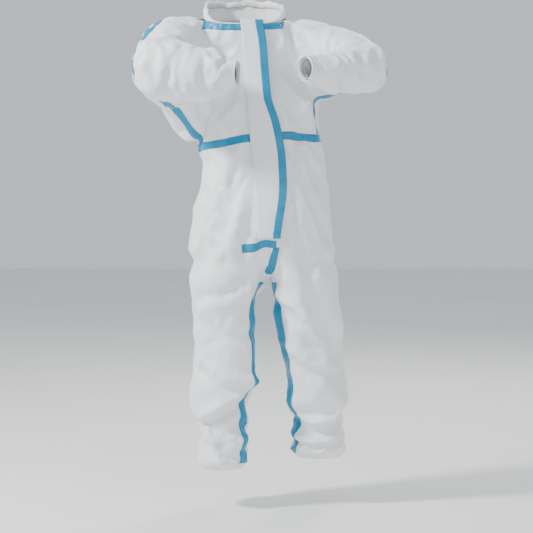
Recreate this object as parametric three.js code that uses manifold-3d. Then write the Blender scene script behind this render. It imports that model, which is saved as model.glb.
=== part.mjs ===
// Hooded one-piece protective coverall with taped seams, empty and held in the shape of its wearer:
// torso leaning a little, both forearms raised in front of the chest, legs apart, hood folded down.
// Millimetres, +Z up, the suit faces -Y, its right-hand side is -X.
// The origin is the middle of the neck opening.
import * as THREE from "three";
import { mergeVertices } from "three/addons/utils/BufferGeometryUtils.js";
import Module from "manifold-3d";

const wasm = await Module();
wasm.setup();

// ---------------------------------------------------------------- driving dimensions
const TORSO_LENGTH = 662; // neck to crotch
const LEG_LENGTH = 528; // crotch to the longer leg's hem
const LEFT_LEG_RISE = 21; // how much higher the left hem sits
const NECK_WIDTH = 212;
const CHEST_WIDTH = 330;
const WAIST_WIDTH = 324;
const HIP_WIDTH = 388;
const NECK_DEPTH = 168;
const CHEST_DEPTH = 256;
const WAIST_DEPTH = 248;
const HIP_DEPTH = 270;
const THIGH_WIDTH = 178;
const KNEE_WIDTH = 164;
const SHIN_WIDTH = 136;
const HEM_WIDTH = 104;
const ELBOW_WIDTH = 152; // the fuller, right sleeve at its elbow
const LEFT_SLEEVE_SHARE = 0.78; // the left sleeve is drawn up the arm and sits slimmer
const FOREARM_WIDTH = 128;
const CUFF_WIDTH = 62;
const WALL = 2.4; // fabric thickness, seam allowance included
const SEAM_GAP = 0.4; // between two neighbouring solids
const TAPE_WIDTH = 20; // heat-sealed seam tape
const TAPE_THICKNESS = 0.9;
const TAPE_LIFT = 0.4; // tape clear of the fabric under it
const FLAP_LIFT = 7.4; // storm flap clear of the zip's slider
const FLAP_THICKNESS = 1.6;
const FLAP_ROOT_SIDE = 27; // from the zip's middle to the line where the flap is sewn on
const ZIP_TAPE_WIDTH = 12.5; // each side
const ZIP_TEETH_WIDTH = 2.6;
const ZIP_CENTRE_GAP = 2.8; // between the two rows of teeth
const SLIDER_LENGTH = 12;
const PULL_LENGTH = 26;
const ELASTIC_WIDTH = 10;
const ELASTIC_THICKNESS = 2;
const HOOD_WIDTH = 250;
const HOOD_DROP = 258; // folded hood, from its fold down the back
const HOOD_THICKNESS = 30;
const COLLAR_HEIGHT = 30; // the hood's lower part, standing up from the neck seam
const ROUND_SEGMENTS = 28;
const LIMB_SEGMENTS = 18;

// ---------------------------------------------------------------- solids from three.js geometry
const V = (x, y, z) => new THREE.Vector3(x, y, z);

function solid(geometry) {
  const bare = (geometry.index ? geometry.toNonIndexed() : geometry.clone());
  bare.deleteAttribute("normal");
  bare.deleteAttribute("uv");
  const merged = mergeVertices(bare, 1e-4);
  return new wasm.Manifold(
    new wasm.Mesh({
      numProp: 3,
      vertProperties: new Float32Array(merged.attributes.position.array),
      triVerts: new Uint32Array(merged.index.array),
    }),
  );
}

// The surface of a finished piece, with vertices closer than the weld distance joined and the faces that
// collapse by it left out. A cutter can leave a crumb beside the piece, so only the largest body is kept.
const WELD = 0.01;
function geometryOf(manifold) {
  const { numVert, numProp, vertProperties, triVerts } = manifold.getMesh();
  const ids = new Map();
  const points = [];
  const welded = Array.from({ length: numVert }, (_, i) => {
    const snapped = [0, 1, 2].map((k) => Math.round(vertProperties[i * numProp + k] / WELD));
    const key = snapped.join();
    if (!ids.has(key)) {
      ids.set(key, points.length);
      points.push(V(...snapped).multiplyScalar(WELD));
    }
    return ids.get(key);
  });
  const faces = new Map();
  for (let i = 0; i < triVerts.length; i += 3) {
    const face = [0, 1, 2].map((k) => welded[triVerts[i + k]]);
    if (new Set(face).size < 3) continue;
    const key = [...face].sort((m, n) => m - n).join();
    if (faces.has(key)) faces.delete(key);
    else faces.set(key, face);
  }
  const parent = points.map((_, i) => i);
  const rootOf = (i) => {
    while (parent[i] !== i) i = parent[i] = parent[parent[i]];
    return i;
  };
  for (const [p, q, r] of faces.values()) {
    parent[rootOf(p)] = rootOf(q);
    parent[rootOf(q)] = rootOf(r);
  }
  const bodies = new Map();
  for (const face of faces.values()) {
    const root = rootOf(face[0]);
    if (!bodies.has(root)) bodies.set(root, []);
    bodies.get(root).push(face);
  }
  const kept = [...bodies.values()].reduce((best, next) =>
    (volumeOf(points, next) > volumeOf(points, best) ? next : best));
  const geometry = new THREE.BufferGeometry().setFromPoints(kept.flat().map((i) => points[i]));
  geometry.computeVertexNormals();
  return geometry;
}

// Six times the volume that faces enclose; negative when they face inwards.
const volumeOf = (points, faces) =>
  faces.reduce((sum, [p, q, r]) => sum + points[p].dot(V(0, 0, 0).crossVectors(points[q], points[r])), 0);

// A closed tube through rings of points, both ends closed by a fan.
function loft(rings, segments) {
  const points = [];
  rings.forEach((ring) => points.push(...ring));
  const firstCentre = points.length;
  const middle = (ring) => ring.reduce((sum, p) => sum.add(p), V(0, 0, 0)).divideScalar(ring.length);
  points.push(middle(rings[0]), middle(rings[rings.length - 1]));
  const faces = [];
  for (let r = 0; r + 1 < rings.length; r++)
    for (let s = 0; s < segments; s++) {
      const a = r * segments + s;
      const b = r * segments + ((s + 1) % segments);
      faces.push([a, b, b + segments], [a, b + segments, a + segments]);
    }
  const last = (rings.length - 1) * segments;
  for (let s = 0; s < segments; s++) {
    const next = (s + 1) % segments;
    faces.push([firstCentre, next, s], [firstCentre + 1, last + s, last + next]);
  }
  const outwards = volumeOf(points, faces) > 0 ? faces : faces.map(([p, q, r]) => [p, r, q]);
  const geometry = new THREE.BufferGeometry().setFromPoints(points);
  geometry.setIndex(outwards.flat());
  return solid(geometry);
}

// A rounded ring: centre, two half axes, and a squareness of 2 for an ellipse, more for a boxier section.
function ring(centre, across, upward, segments, squareness = 2) {
  const power = 2 / squareness;
  const bend = (value) => Math.sign(value) * Math.abs(value) ** power;
  return Array.from({ length: segments }, (_, s) => {
    const angle = ((s + 0.5) / segments) * 2 * Math.PI;
    return centre.clone()
      .addScaledVector(across, bend(Math.cos(angle)))
      .addScaledVector(upward, bend(Math.sin(angle)));
  });
}

// Smooth values between rows of stated ones: rows are [height, value, value ...], highest first.
function between(rows, height) {
  const count = rows.length - 1;
  let i = 0;
  while (i < count - 1 && height < rows[i + 1][0]) i++;
  const t = THREE.MathUtils.clamp((rows[i][0] - height) / (rows[i][0] - rows[i + 1][0]), 0, 1);
  const at = (j) => rows[THREE.MathUtils.clamp(j, 0, count)];
  return rows[i].slice(1).map((_, k) => {
    const [p0, p1, p2, p3] = [at(i - 1), at(i), at(i + 1), at(i + 2)].map((row) => row[k + 1]);
    const m1 = (p2 - p0) / 2;
    const m2 = (p3 - p1) / 2;
    return (2 * t ** 3 - 3 * t ** 2 + 1) * p1 + (t ** 3 - 2 * t ** 2 + t) * m1 +
      (3 * t ** 2 - 2 * t ** 3) * p2 + (t ** 3 - t ** 2) * m2;
  });
}

function heights(top, bottom, count) {
  return Array.from({ length: count }, (_, i) => THREE.MathUtils.lerp(top, bottom, i / (count - 1)));
}

// A prism seen from the front: an outline of [x, z] points, cut right through between two depths.
const FAR = 900;
function frontPrism(outline, nearY = -FAR, farY = FAR) {
  const shape = new THREE.Shape(outline.map(([x, z]) => new THREE.Vector2(x, z)));
  const geometry = new THREE.ExtrudeGeometry(shape, { depth: farY - nearY, bevelEnabled: false });
  geometry.rotateX(Math.PI / 2);
  geometry.translate(0, farY, 0);
  return solid(geometry);
}

// A prism seen from above: an outline of [x, y] points between two heights, then leaned by a matrix.
function planPrism(outline, low, high, leaning) {
  const shape = new THREE.Shape(outline.map(([x, y]) => new THREE.Vector2(x, y)));
  const geometry = new THREE.ExtrudeGeometry(shape, { depth: high - low, bevelEnabled: false });
  geometry.translate(0, 0, low);
  geometry.applyMatrix4(leaning);
  return solid(geometry);
}

// A prism seen from the side: an outline of [y, z] points between two widths.
function sidePrism(outline, left, right) {
  const shape = new THREE.Shape(outline.map(([y, z]) => new THREE.Vector2(y, z)));
  const geometry = new THREE.ExtrudeGeometry(shape, { depth: right - left, bevelEnabled: false });
  geometry.applyMatrix4(new THREE.Matrix4().makeBasis(V(0, 1, 0), V(0, 0, 1), V(1, 0, 0)));
  geometry.translate(left, 0, 0);
  return solid(geometry);
}

function orientedBox(centre, alongX, alongY, alongZ, size) {
  const geometry = new THREE.BoxGeometry(size[0], size[1], size[2]);
  geometry.applyMatrix4(new THREE.Matrix4().makeBasis(alongX, alongY, alongZ));
  geometry.translate(centre.x, centre.y, centre.z);
  return solid(geometry);
}

// Everything on the positive side of a plane through a point, moved back by a clearance.
function halfSpace(point, normal, clearance = SEAM_GAP / 2) {
  const up = Math.abs(normal.z) < 0.9 ? V(0, 0, 1) : V(1, 0, 0);
  const side = V(0, 0, 0).crossVectors(up, normal).normalize();
  const other = V(0, 0, 0).crossVectors(normal, side);
  const middle = point.clone().addScaledVector(normal, FAR + clearance);
  return orientedBox(middle, side, other, normal, [4 * FAR, 4 * FAR, 2 * FAR]);
}

const union = (...solids) => solids.reduce((sum, next) => sum.add(next));
const common = (...solids) => solids.reduce((sum, next) => sum.intersect(next));

// ---------------------------------------------------------------- torso
const CROTCH_Z = -TORSO_LENGTH;
const TORSO_TOP_Z = 0.07 * TORSO_LENGTH; // trimmed to the neck seam further down
const CHEST_SEAM_Z = -0.463 * TORSO_LENGTH;
const NECK_X = -16;
const NECK_Z = 10;
const CROTCH_X = 53;
const TORSO_SQUARENESS = 2.3;

// The zip runs down one straight line on the front, and each section of the torso is set behind it.
const ZIP_TOP = V(7, -99, -0.04 * TORSO_LENGTH);
const ZIP_BOTTOM = V(47, -141, -0.772 * TORSO_LENGTH);
const ZIP_DOWN = ZIP_BOTTOM.clone().sub(ZIP_TOP).normalize();
const ZIP_LENGTH = ZIP_BOTTOM.distanceTo(ZIP_TOP);
const ZIP_OUT = V(0, -1, 0).addScaledVector(ZIP_DOWN, ZIP_DOWN.y).normalize();
const ZIP_LEFT = V(0, 0, 0).crossVectors(ZIP_OUT, ZIP_DOWN).normalize();
const zipPointAt = (z) => ZIP_TOP.clone().addScaledVector(ZIP_DOWN, (z - ZIP_TOP.z) / ZIP_DOWN.z);

// Height, middle x, half width, half depth.
const torsoRows = [
  [TORSO_TOP_Z, NECK_X, NECK_WIDTH / 2, NECK_DEPTH / 2],
  [0.01 * TORSO_LENGTH, NECK_X, NECK_WIDTH / 2, NECK_DEPTH / 2],
  [-0.045 * TORSO_LENGTH, -8, 0.43 * CHEST_WIDTH, 0.4 * CHEST_DEPTH],
  [-0.17 * TORSO_LENGTH, 12, 0.485 * CHEST_WIDTH, 0.47 * CHEST_DEPTH],
  [-0.32 * TORSO_LENGTH, 18, CHEST_WIDTH / 2, CHEST_DEPTH / 2],
  [CHEST_SEAM_Z, 27, CHEST_WIDTH / 2, CHEST_DEPTH / 2],
  [-0.59 * TORSO_LENGTH, 39, WAIST_WIDTH / 2, WAIST_DEPTH / 2],
  [-0.72 * TORSO_LENGTH, 33, 0.47 * HIP_WIDTH, 0.49 * HIP_DEPTH],
  [-0.84 * TORSO_LENGTH, 30, 0.49 * HIP_WIDTH, HIP_DEPTH / 2],
  [-0.92 * TORSO_LENGTH, 35, 0.485 * HIP_WIDTH, 0.46 * HIP_DEPTH],
  [CROTCH_Z, 47, 0.28 * HIP_WIDTH, 0.26 * HIP_DEPTH],
];
const TORSO_HEIGHTS = [
  TORSO_TOP_Z,
  0,
  ...heights(-0.045 * TORSO_LENGTH, -0.92 * TORSO_LENGTH, 11),
  -0.965 * TORSO_LENGTH,
  CROTCH_Z,
];

// How far the front of a section lies in front of its middle, at a given x, as a share of the half depth.
function frontShare(x, middleX, halfWidth) {
  const share = Math.min(0.999, Math.abs((x - middleX) / halfWidth));
  return (1 - share ** TORSO_SQUARENESS) ** (1 / TORSO_SQUARENESS);
}

function torsoMiddleY(z) {
  const [x, halfWidth, halfDepth] = between(torsoRows, Math.max(z, ZIP_BOTTOM.z));
  const zip = zipPointAt(Math.max(z, ZIP_BOTTOM.z));
  return zip.y + halfDepth * frontShare(zip.x, x, halfWidth);
}

function torsoRing(z, atZ, grow) {
  const [x, halfWidth, halfDepth] = between(torsoRows, z);
  return ring(V(x, torsoMiddleY(z), atZ), V(halfWidth + grow, 0, 0), V(0, halfDepth + grow, 0),
    ROUND_SEGMENTS, TORSO_SQUARENESS);
}

function torsoSolid(grow, reach = 0) {
  const rings = TORSO_HEIGHTS.map((z) => torsoRing(z, z, grow));
  if (reach) rings.unshift(torsoRing(TORSO_TOP_Z, TORSO_TOP_Z + reach, grow));
  return loft(rings, ROUND_SEGMENTS);
}

// ---------------------------------------------------------------- legs
const HIP_OVERLAP = 0.13 * TORSO_LENGTH; // how far up inside the torso a leg's tube starts
const RIGHT_HEM_Z = CROTCH_Z - LEG_LENGTH;
const LEFT_HEM_Z = RIGHT_HEM_Z + LEFT_LEG_RISE;

// Share of the leg below the crotch, middle x, middle y, half width, half depth.
const rightLegShares = [
  [-HIP_OVERLAP / LEG_LENGTH, -50, -6, 0.48 * THIGH_WIDTH, 100],
  [0, -56, -6, 0.6 * THIGH_WIDTH, 110],
  [0.1, -71, -6, THIGH_WIDTH / 2, 102],
  [0.2, -75, -8, 0.46 * THIGH_WIDTH, 94],
  [0.38, -69, -14, 0.5 * KNEE_WIDTH, 86],
  [0.53, -75, -20, 0.51 * KNEE_WIDTH, 86],
  [0.63, -87, -20, 0.47 * KNEE_WIDTH, 80],
  [0.73, -76, -22, 0.49 * SHIN_WIDTH, 74],
  [0.81, -71, -24, 0.48 * SHIN_WIDTH, 72],
  [0.9, -73, -26, SHIN_WIDTH / 2, 74],
  [0.98, -74, -28, 0.48 * SHIN_WIDTH, 70],
  [1, -74, -28, HEM_WIDTH / 2, 56],
];
const leftLegShares = [
  [-HIP_OVERLAP / LEG_LENGTH, 118, -4, 0.48 * THIGH_WIDTH, 100],
  [0, 141, -4, 0.52 * THIGH_WIDTH, 110],
  [0.1, 147, -2, THIGH_WIDTH / 2, 102],
  [0.26, 160, 6, 0.52 * THIGH_WIDTH, 92],
  [0.4, 164, 14, 0.51 * KNEE_WIDTH, 86],
  [0.53, 176, 20, KNEE_WIDTH / 2, 86],
  [0.65, 184, 26, 0.5 * KNEE_WIDTH, 82],
  [0.73, 187, 30, 0.49 * SHIN_WIDTH, 72],
  [0.83, 182, 32, 0.53 * SHIN_WIDTH, 74],
  [0.97, 184, 34, 0.56 * SHIN_WIDTH, 74],
  [1, 185, 34, 0.56 * HEM_WIDTH, 58],
];
const legRows = (shares, hemZ) =>
  shares.map(([share, ...rest]) => [CROTCH_Z - share * (CROTCH_Z - hemZ), ...rest]);
const legs = {
  right: { hemZ: RIGHT_HEM_Z, rows: legRows(rightLegShares, RIGHT_HEM_Z), inward: 1 },
  left: { hemZ: LEFT_HEM_Z, rows: legRows(leftLegShares, LEFT_HEM_Z), inward: -1 },
};
const LEG_SQUARENESS = 2.1;
const PUFF_SHARE = 0.975; // the fabric blouses over the ankle elastic down to this share of the leg

function legSolid({ rows, hemZ }, grow, reach = 0) {
  const puffZ = THREE.MathUtils.lerp(CROTCH_Z, hemZ, PUFF_SHARE);
  const rings = [...heights(CROTCH_Z + HIP_OVERLAP, puffZ, 14), hemZ].map((z) => {
    const [x, y, halfWidth, halfDepth] = between(rows, z);
    const across = V(halfWidth + grow, 0, 0);
    return ring(V(x, y, z), across, V(0, halfDepth + grow, 0), LIMB_SEGMENTS, LEG_SQUARENESS);
  });
  if (reach) rings.push(rings[rings.length - 1].map((p) => p.clone().setZ(hemZ - reach)));
  return loft(rings, LIMB_SEGMENTS);
}

// ---------------------------------------------------------------- sleeves
// Each sleeve is an upper part that widens into the side of the torso, and a forearm that swings at the
// elbow.
// Upper stations: middle, half height and half depth, from inside the torso to just above the elbow.
const arms = {
  right: {
    side: -1,
    elbow: V(-230, -196, -118),
    wrist: V(-30, -240, -146),
    elbowWidth: ELBOW_WIDTH,
    upper: [
      [V(-66, 12, -140), 134, 84],
      [V(-124, 0, -142), 158, 84],
      [V(-166, -42, -142), 164, 82],
      [V(-206, -108, -103), 114, 80],
      [V(-224, -152, -106), 98, 79],
    ],
  },
  left: {
    side: 1,
    elbow: V(303, -128, -112),
    wrist: V(142, -240, -134),
    elbowWidth: ELBOW_WIDTH * LEFT_SLEEVE_SHARE,
    upper: [
      [V(84, 12, -100), 112, 84],
      [V(142, 4, -98), 122, 84],
      [V(204, -32, -96), 92, 78],
      [V(254, -76, -92), 76, 70],
    ],
  },
};
for (const arm of Object.values(arms)) {
  const lastUpper = arm.upper[arm.upper.length - 1][0];
  arm.radius = arm.elbowWidth / 2;
  arm.upperDirection = arm.elbow.clone().sub(lastUpper).normalize();
  arm.foreDirection = arm.wrist.clone().sub(arm.elbow).normalize();
  arm.foreLength = arm.wrist.distanceTo(arm.elbow);
  arm.mitreNormal = arm.upperDirection.clone().add(arm.foreDirection).normalize();
  arm.outward = arm.upperDirection.clone().sub(arm.foreDirection).normalize();
}

function limbRing(centre, direction, halfHeight, halfDepth) {
  const across = V(0, 0, 0).crossVectors(direction, V(0, 0, 1)).normalize();
  return ring(centre, across.multiplyScalar(halfDepth), V(0, 0, halfHeight), LIMB_SEGMENTS);
}

const ELBOW_STEPS = [0.5, 0.87]; // rings of the rounded elbow, as shares of its radius

function elbowRings(arm, direction, grow) {
  const radius = arm.radius + grow;
  return ELBOW_STEPS.map((step) => {
    const shrunk = radius * Math.sqrt(1 - step * step);
    const centre = arm.elbow.clone().addScaledVector(direction, radius * step);
    return limbRing(centre, arm.upperDirection, shrunk, shrunk);
  });
}

function upperSleeveSolid(arm, grow) {
  const stations = [...arm.upper, [arm.elbow, arm.radius, arm.radius]];
  const rings = stations.map(([centre, halfHeight, halfDepth], i) => {
    const before = stations[Math.max(0, i - 1)][0];
    const after = stations[Math.min(stations.length - 1, i + 1)][0];
    return limbRing(centre, after.clone().sub(before).normalize(), halfHeight + grow, halfDepth + grow);
  });
  return loft([...rings, ...elbowRings(arm, arm.upperDirection, grow)], LIMB_SEGMENTS);
}

const FOREARM_RINGS = 6;
const CUFF_DROOP = 6; // the forearm hangs this far below the straight line from elbow to wrist

function forearmCentre(arm, share) {
  const centre = arm.elbow.clone().addScaledVector(arm.foreDirection, share * arm.foreLength);
  centre.z -= CUFF_DROOP * Math.sin(Math.PI * share);
  return centre;
}

function forearmSolid(arm, grow, reach = 0) {
  const fullness = arm.elbowWidth / ELBOW_WIDTH;
  // Minus the share of the forearm's length, and radius.
  const rows = [
    [0, arm.radius],
    [-0.3, 0.98 * arm.radius],
    [-0.62, (FOREARM_WIDTH / 2) * fullness],
    [-0.86, 0.72 * (FOREARM_WIDTH / 2) * fullness],
    [-1, CUFF_WIDTH / 2],
  ];
  const back = arm.foreDirection.clone().negate();
  const rings = elbowRings(arm, back, grow).reverse().map((points, i) => {
    const step = ELBOW_STEPS[ELBOW_STEPS.length - 1 - i];
    const shrunk = (arm.radius + grow) * Math.sqrt(1 - step * step);
    return limbRing(arm.elbow.clone().addScaledVector(back, (arm.radius + grow) * step), arm.foreDirection,
      shrunk, shrunk);
  });
  for (let i = 0; i <= FOREARM_RINGS; i++) {
    const share = i / FOREARM_RINGS;
    const [radius] = between(rows, -share);
    rings.push(limbRing(forearmCentre(arm, share), arm.foreDirection, radius + grow, radius + grow));
  }
  const past = (p) => p.clone().addScaledVector(arm.foreDirection, reach);
  if (reach) rings.push(rings[rings.length - 1].map(past));
  return loft(rings, LIMB_SEGMENTS);
}

// ---------------------------------------------------------------- the outer surface, moved in or out
const OPEN_REACH = 30; // an inner solid runs this far past each opening, so that the opening is cut clear
const envelopes = new Map();
function envelope(grow, reach = 0) {
  const key = `${grow} ${reach}`;
  if (!envelopes.has(key))
    envelopes.set(key, union(
      torsoSolid(grow, reach),
      ...Object.values(legs).map((leg) => legSolid(leg, grow, reach)),
      ...Object.values(arms).map((arm) => upperSleeveSolid(arm, grow)),
    ));
  return envelopes.get(key);
}

// A layer of the suit between two offsets from its outer surface: body and upper sleeves, and one forearm.
const layer = (inside, outside) => envelope(outside).subtract(envelope(inside, OPEN_REACH));
const forearmLayer = (arm, inside, outside) =>
  forearmSolid(arm, outside).subtract(forearmSolid(arm, inside, OPEN_REACH))
    .intersect(halfSpace(arm.elbow, arm.mitreNormal));

// ---------------------------------------------------------------- where the seams run
const NECK_TILT = THREE.MathUtils.degToRad(13); // the neck seam is higher at the back
const neckNormal = V(0, -Math.sin(NECK_TILT), Math.cos(NECK_TILT));
const neckPoint = V(NECK_X, 0, NECK_Z);
const NECK_TRIM_MARGIN = 8; // sideways, past the neck's own section
const neckTrim = (clearance) => common(
  halfSpace(neckPoint, neckNormal, clearance),
  frontPrism([-1, 1].flatMap((side) => [[NECK_X + side * (NECK_WIDTH / 2 + NECK_TRIM_MARGIN), -side * FAR],
    [NECK_X + side * (NECK_WIDTH / 2 + NECK_TRIM_MARGIN), side * FAR]])),
);
const MITRE_REACH = 2.5; // side of the elbow's trimming box, in half heights of the sleeve just above it
const mitres = (solidToTrim) => Object.values(arms).reduce((rest, arm) =>
  rest.subtract(halfSpace(arm.elbow, arm.mitreNormal, -SEAM_GAP / 2)
    .intersect(orientedBox(arm.elbow, V(1, 0, 0), V(0, 1, 0), V(0, 0, 1),
      Array(3).fill(MITRE_REACH * arm.upper[arm.upper.length - 1][1])))),
solidToTrim);
const trimmed = (solidToTrim) => mitres(solidToTrim).subtract(neckTrim(0));
const skin = trimmed(layer(-WALL, 0));
const tapeLayer = trimmed(layer(TAPE_LIFT, TAPE_LIFT + TAPE_THICKNESS));

const CHEST_SEAM_TILT = 0.075; // the torso leans, so its cross seams climb towards the left side
const chestNormal = V(-CHEST_SEAM_TILT, 0, 1).normalize();
const chestPoint = V(27, 0, CHEST_SEAM_Z);
const aboveChest = (clearance = SEAM_GAP / 2) => halfSpace(chestPoint, chestNormal, clearance);
const belowChest = (clearance = SEAM_GAP / 2) =>
  halfSpace(chestPoint, chestNormal.clone().negate(), clearance);

// The centre line: down the zip, then to the crotch.
const centreX = (z) => (z > ZIP_BOTTOM.z ? zipPointAt(z).x
  : THREE.MathUtils.mapLinear(z, ZIP_BOTTOM.z, CROTCH_Z, ZIP_BOTTOM.x, CROTCH_X));
const centreLine = (shift) => [
  [centreX(TORSO_TOP_Z) + shift, FAR],
  ...[TORSO_TOP_Z, ZIP_BOTTOM.z, CROTCH_Z].map((z) => [centreX(z) + shift, z]),
  [CROTCH_X + shift, -2 * FAR],
];
const besideCentre = (side, clearance = SEAM_GAP / 2) =>
  frontPrism([...centreLine(side * clearance), [side * FAR, -2 * FAR], [side * FAR, FAR]]);

// Front and back meet on a surface that follows each sleeve's middle and leans back towards the top, so that
// the shoulder seam lies behind the shoulder and the underarm seam in front of the lowest fold.
const LEAN_FROM_Z = -0.2 * TORSO_LENGTH;
const PRISM_OVERLAP = 0.5; // between one leaned prism and the next
const UNDERARM_LEAN = 0.22;
const SHOULDER_LEAN = 1.15; // round the outside of the arm
const YOKE_FROM_Z = -0.14 * TORSO_LENGTH;
const YOKE_LEAN = 0.2; // over the top of the shoulder
// Leans an upright prism: each height moves back by the slope, starting with a set distance at one height.
const leaning = (slope, fromZ, start = 0) =>
  new THREE.Matrix4().set(1, 0, 0, 0, 0, 1, slope, start - slope * fromZ, 0, 0, 1, 0, 0, 0, 0, 1);
function inFrontOfSides(shift) {
  const armLine = (arm) => {
    const line = [...arm.upper.slice(1).map(([p]) => p), arm.elbow].map((p) => [p.x, p.y + shift]);
    const tip = arm.elbow.clone().addScaledVector(arm.outward, FAR);
    return [...line, [tip.x, tip.y + shift], [arm.side * 2 * FAR, -2 * FAR]];
  };
  const outline = [...armLine(arms.left).reverse(), ...armLine(arms.right)];
  const yokeStart = SHOULDER_LEAN * (YOKE_FROM_Z - LEAN_FROM_Z);
  return union(
    planPrism(outline, -FAR, LEAN_FROM_Z, leaning(UNDERARM_LEAN, LEAN_FROM_Z)),
    planPrism(outline, LEAN_FROM_Z - PRISM_OVERLAP, YOKE_FROM_Z, leaning(SHOULDER_LEAN, LEAN_FROM_Z)),
    planPrism(outline, YOKE_FROM_Z - PRISM_OVERLAP, FAR, leaning(YOKE_LEAN, YOKE_FROM_Z, yokeStart)),
  );
}

// ---------------------------------------------------------------- materials and the assembly
const paint = (color, roughness) => new THREE.MeshStandardMaterial({ color, roughness, metalness: 0 });
const WHITE_FABRIC = 0xeef0f4;
const SEAM_BLUE = 0x08a6dc;
const fabric = () => paint(WHITE_FABRIC, 0.72);
const blue = () => paint(SEAM_BLUE, 0.38);
const elastic = () => paint(0xf2f2f0, 0.8);
const zipCloth = () => paint(0xf0f1f3, 0.8);
const zipPlastic = () => paint(0xe8eaec, 0.4);
const suit = new THREE.Group();

function add(name, manifold, material) {
  const mesh = new THREE.Mesh(geometryOf(manifold), material);
  mesh.name = name;
  suit.add(mesh);
}

// ---------------------------------------------------------------- zip
const ZIP_SLOT_HALF = ZIP_CENTRE_GAP / 2 + ZIP_TEETH_WIDTH + ZIP_TAPE_WIDTH + SEAM_GAP;
const ZIP_SINK = WALL / 2; // the zip's middle plane, below the fabric's outer surface
const ZIP_TEETH_HEIGHT = 2.4;
const ZIP_CLOTH_THICKNESS = 0.9;
const zipPlace = (down, left, out) => ZIP_TOP.clone().addScaledVector(ZIP_DOWN, down)
  .addScaledVector(ZIP_LEFT, left).addScaledVector(ZIP_OUT, out - ZIP_SINK);
const zipBox = (down, left, out, size) =>
  orientedBox(zipPlace(down, left, out), ZIP_LEFT, ZIP_OUT, ZIP_DOWN, size);

const SLOT_ABOVE = 100; // the slot runs out through the neck edge
const slotLength = ZIP_LENGTH + SLOT_ABOVE + SEAM_GAP;
const zipSlot = zipBox((ZIP_LENGTH - SLOT_ABOVE + SEAM_GAP) / 2, 0, 0, [2 * ZIP_SLOT_HALF, 60, slotLength]);
const teethMiddle = ZIP_CENTRE_GAP / 2 + ZIP_TEETH_WIDTH / 2;
const zipTapeMiddle = ZIP_CENTRE_GAP / 2 + ZIP_TEETH_WIDTH + ZIP_TAPE_WIDTH / 2;
const STOP_LENGTH = 4;
const TEETH_START = STOP_LENGTH + SEAM_GAP;
const TEETH_LENGTH = ZIP_LENGTH - 2 * TEETH_START;
for (const [name, side] of [["right", -1], ["left", 1]]) {
  const teethSize = (length) => [ZIP_TEETH_WIDTH - SEAM_GAP, ZIP_TEETH_HEIGHT, length];
  add(`zip_tape_${name}`, zipBox(ZIP_LENGTH / 2, side * zipTapeMiddle, 0,
    [ZIP_TAPE_WIDTH - SEAM_GAP, ZIP_CLOTH_THICKNESS, ZIP_LENGTH]), zipCloth());
  add(`zip_teeth_${name}`, zipBox(TEETH_START + TEETH_LENGTH / 2, side * teethMiddle, 0,
    teethSize(TEETH_LENGTH)), zipPlastic());
  const topStop = zipBox(STOP_LENGTH / 2, side * teethMiddle, 0, teethSize(STOP_LENGTH));
  add(`zip_top_stop_${name}`, topStop, zipPlastic());
}
add("zip_bottom_stop", zipBox(ZIP_LENGTH - STOP_LENGTH / 2, 0, 0,
  [ZIP_CENTRE_GAP + 2 * ZIP_TEETH_WIDTH - 2 * SEAM_GAP, ZIP_TEETH_HEIGHT, STOP_LENGTH]), zipPlastic());

// The slider: two plates round the teeth, joined by a post that runs in the gap between the two rows.
const SLIDER_WIDTH = 10;
const SLIDER_PLATE = 1.2;
const CLEARANCE = 0.3;
const PULL_PIN_RADIUS = 0.6;
const PULL_BARREL_RADIUS = 1.5; // the end of the pull that goes round the pin
const PULL_WIDTH = 4.2;
const PULL_THICKNESS = 1.4;
const LUG_THICKNESS = 1.2;
const PIN_HEIGHT = PULL_BARREL_RADIUS + CLEARANCE; // above the slider's face
const LUG_HEIGHT = PIN_HEIGHT + 2 * PULL_PIN_RADIUS;
const sliderDown = TEETH_START + SLIDER_LENGTH / 2;
const plateOut = ZIP_TEETH_HEIGHT / 2 + CLEARANCE + SLIDER_PLATE / 2;
const sliderFace = plateOut + SLIDER_PLATE / 2;
const lugSide = PULL_WIDTH / 2 + CLEARANCE + LUG_THICKNESS / 2;
const pinPlace = zipPlace(sliderDown, 0, sliderFace + PIN_HEIGHT);
function crossRod(centre, radius, length) {
  const geometry = new THREE.CylinderGeometry(radius, radius, length, 12);
  geometry.applyMatrix4(new THREE.Matrix4().makeBasis(ZIP_OUT, ZIP_LEFT, ZIP_DOWN.clone().negate()));
  geometry.translate(centre.x, centre.y, centre.z);
  return solid(geometry);
}
add("zip_slider", union(
  zipBox(sliderDown, 0, plateOut, [SLIDER_WIDTH, SLIDER_PLATE, SLIDER_LENGTH]),
  zipBox(sliderDown, 0, -plateOut, [SLIDER_WIDTH, SLIDER_PLATE, SLIDER_LENGTH]),
  zipBox(sliderDown, 0, 0, [ZIP_CENTRE_GAP - 2 * CLEARANCE, 2 * plateOut, SLIDER_LENGTH * 0.7]),
  crossRod(pinPlace, PULL_PIN_RADIUS, 2 * lugSide),
  ...[-1, 1].map((side) => zipBox(sliderDown, side * lugSide, sliderFace + LUG_HEIGHT / 2 - CLEARANCE,
    [LUG_THICKNESS, LUG_HEIGHT + 2 * CLEARANCE, LUG_HEIGHT])),
), zipPlastic());
const pullMiddle = pinPlace.clone().addScaledVector(ZIP_DOWN, PULL_LENGTH / 2);
add("zip_pull", union(
  orientedBox(pullMiddle, ZIP_LEFT, ZIP_OUT, ZIP_DOWN, [PULL_WIDTH, PULL_THICKNESS, PULL_LENGTH]),
  crossRod(pinPlace, PULL_BARREL_RADIUS, PULL_WIDTH),
).subtract(crossRod(pinPlace, PULL_PIN_RADIUS + CLEARANCE, PULL_WIDTH + 2)), zipPlastic());

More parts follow.
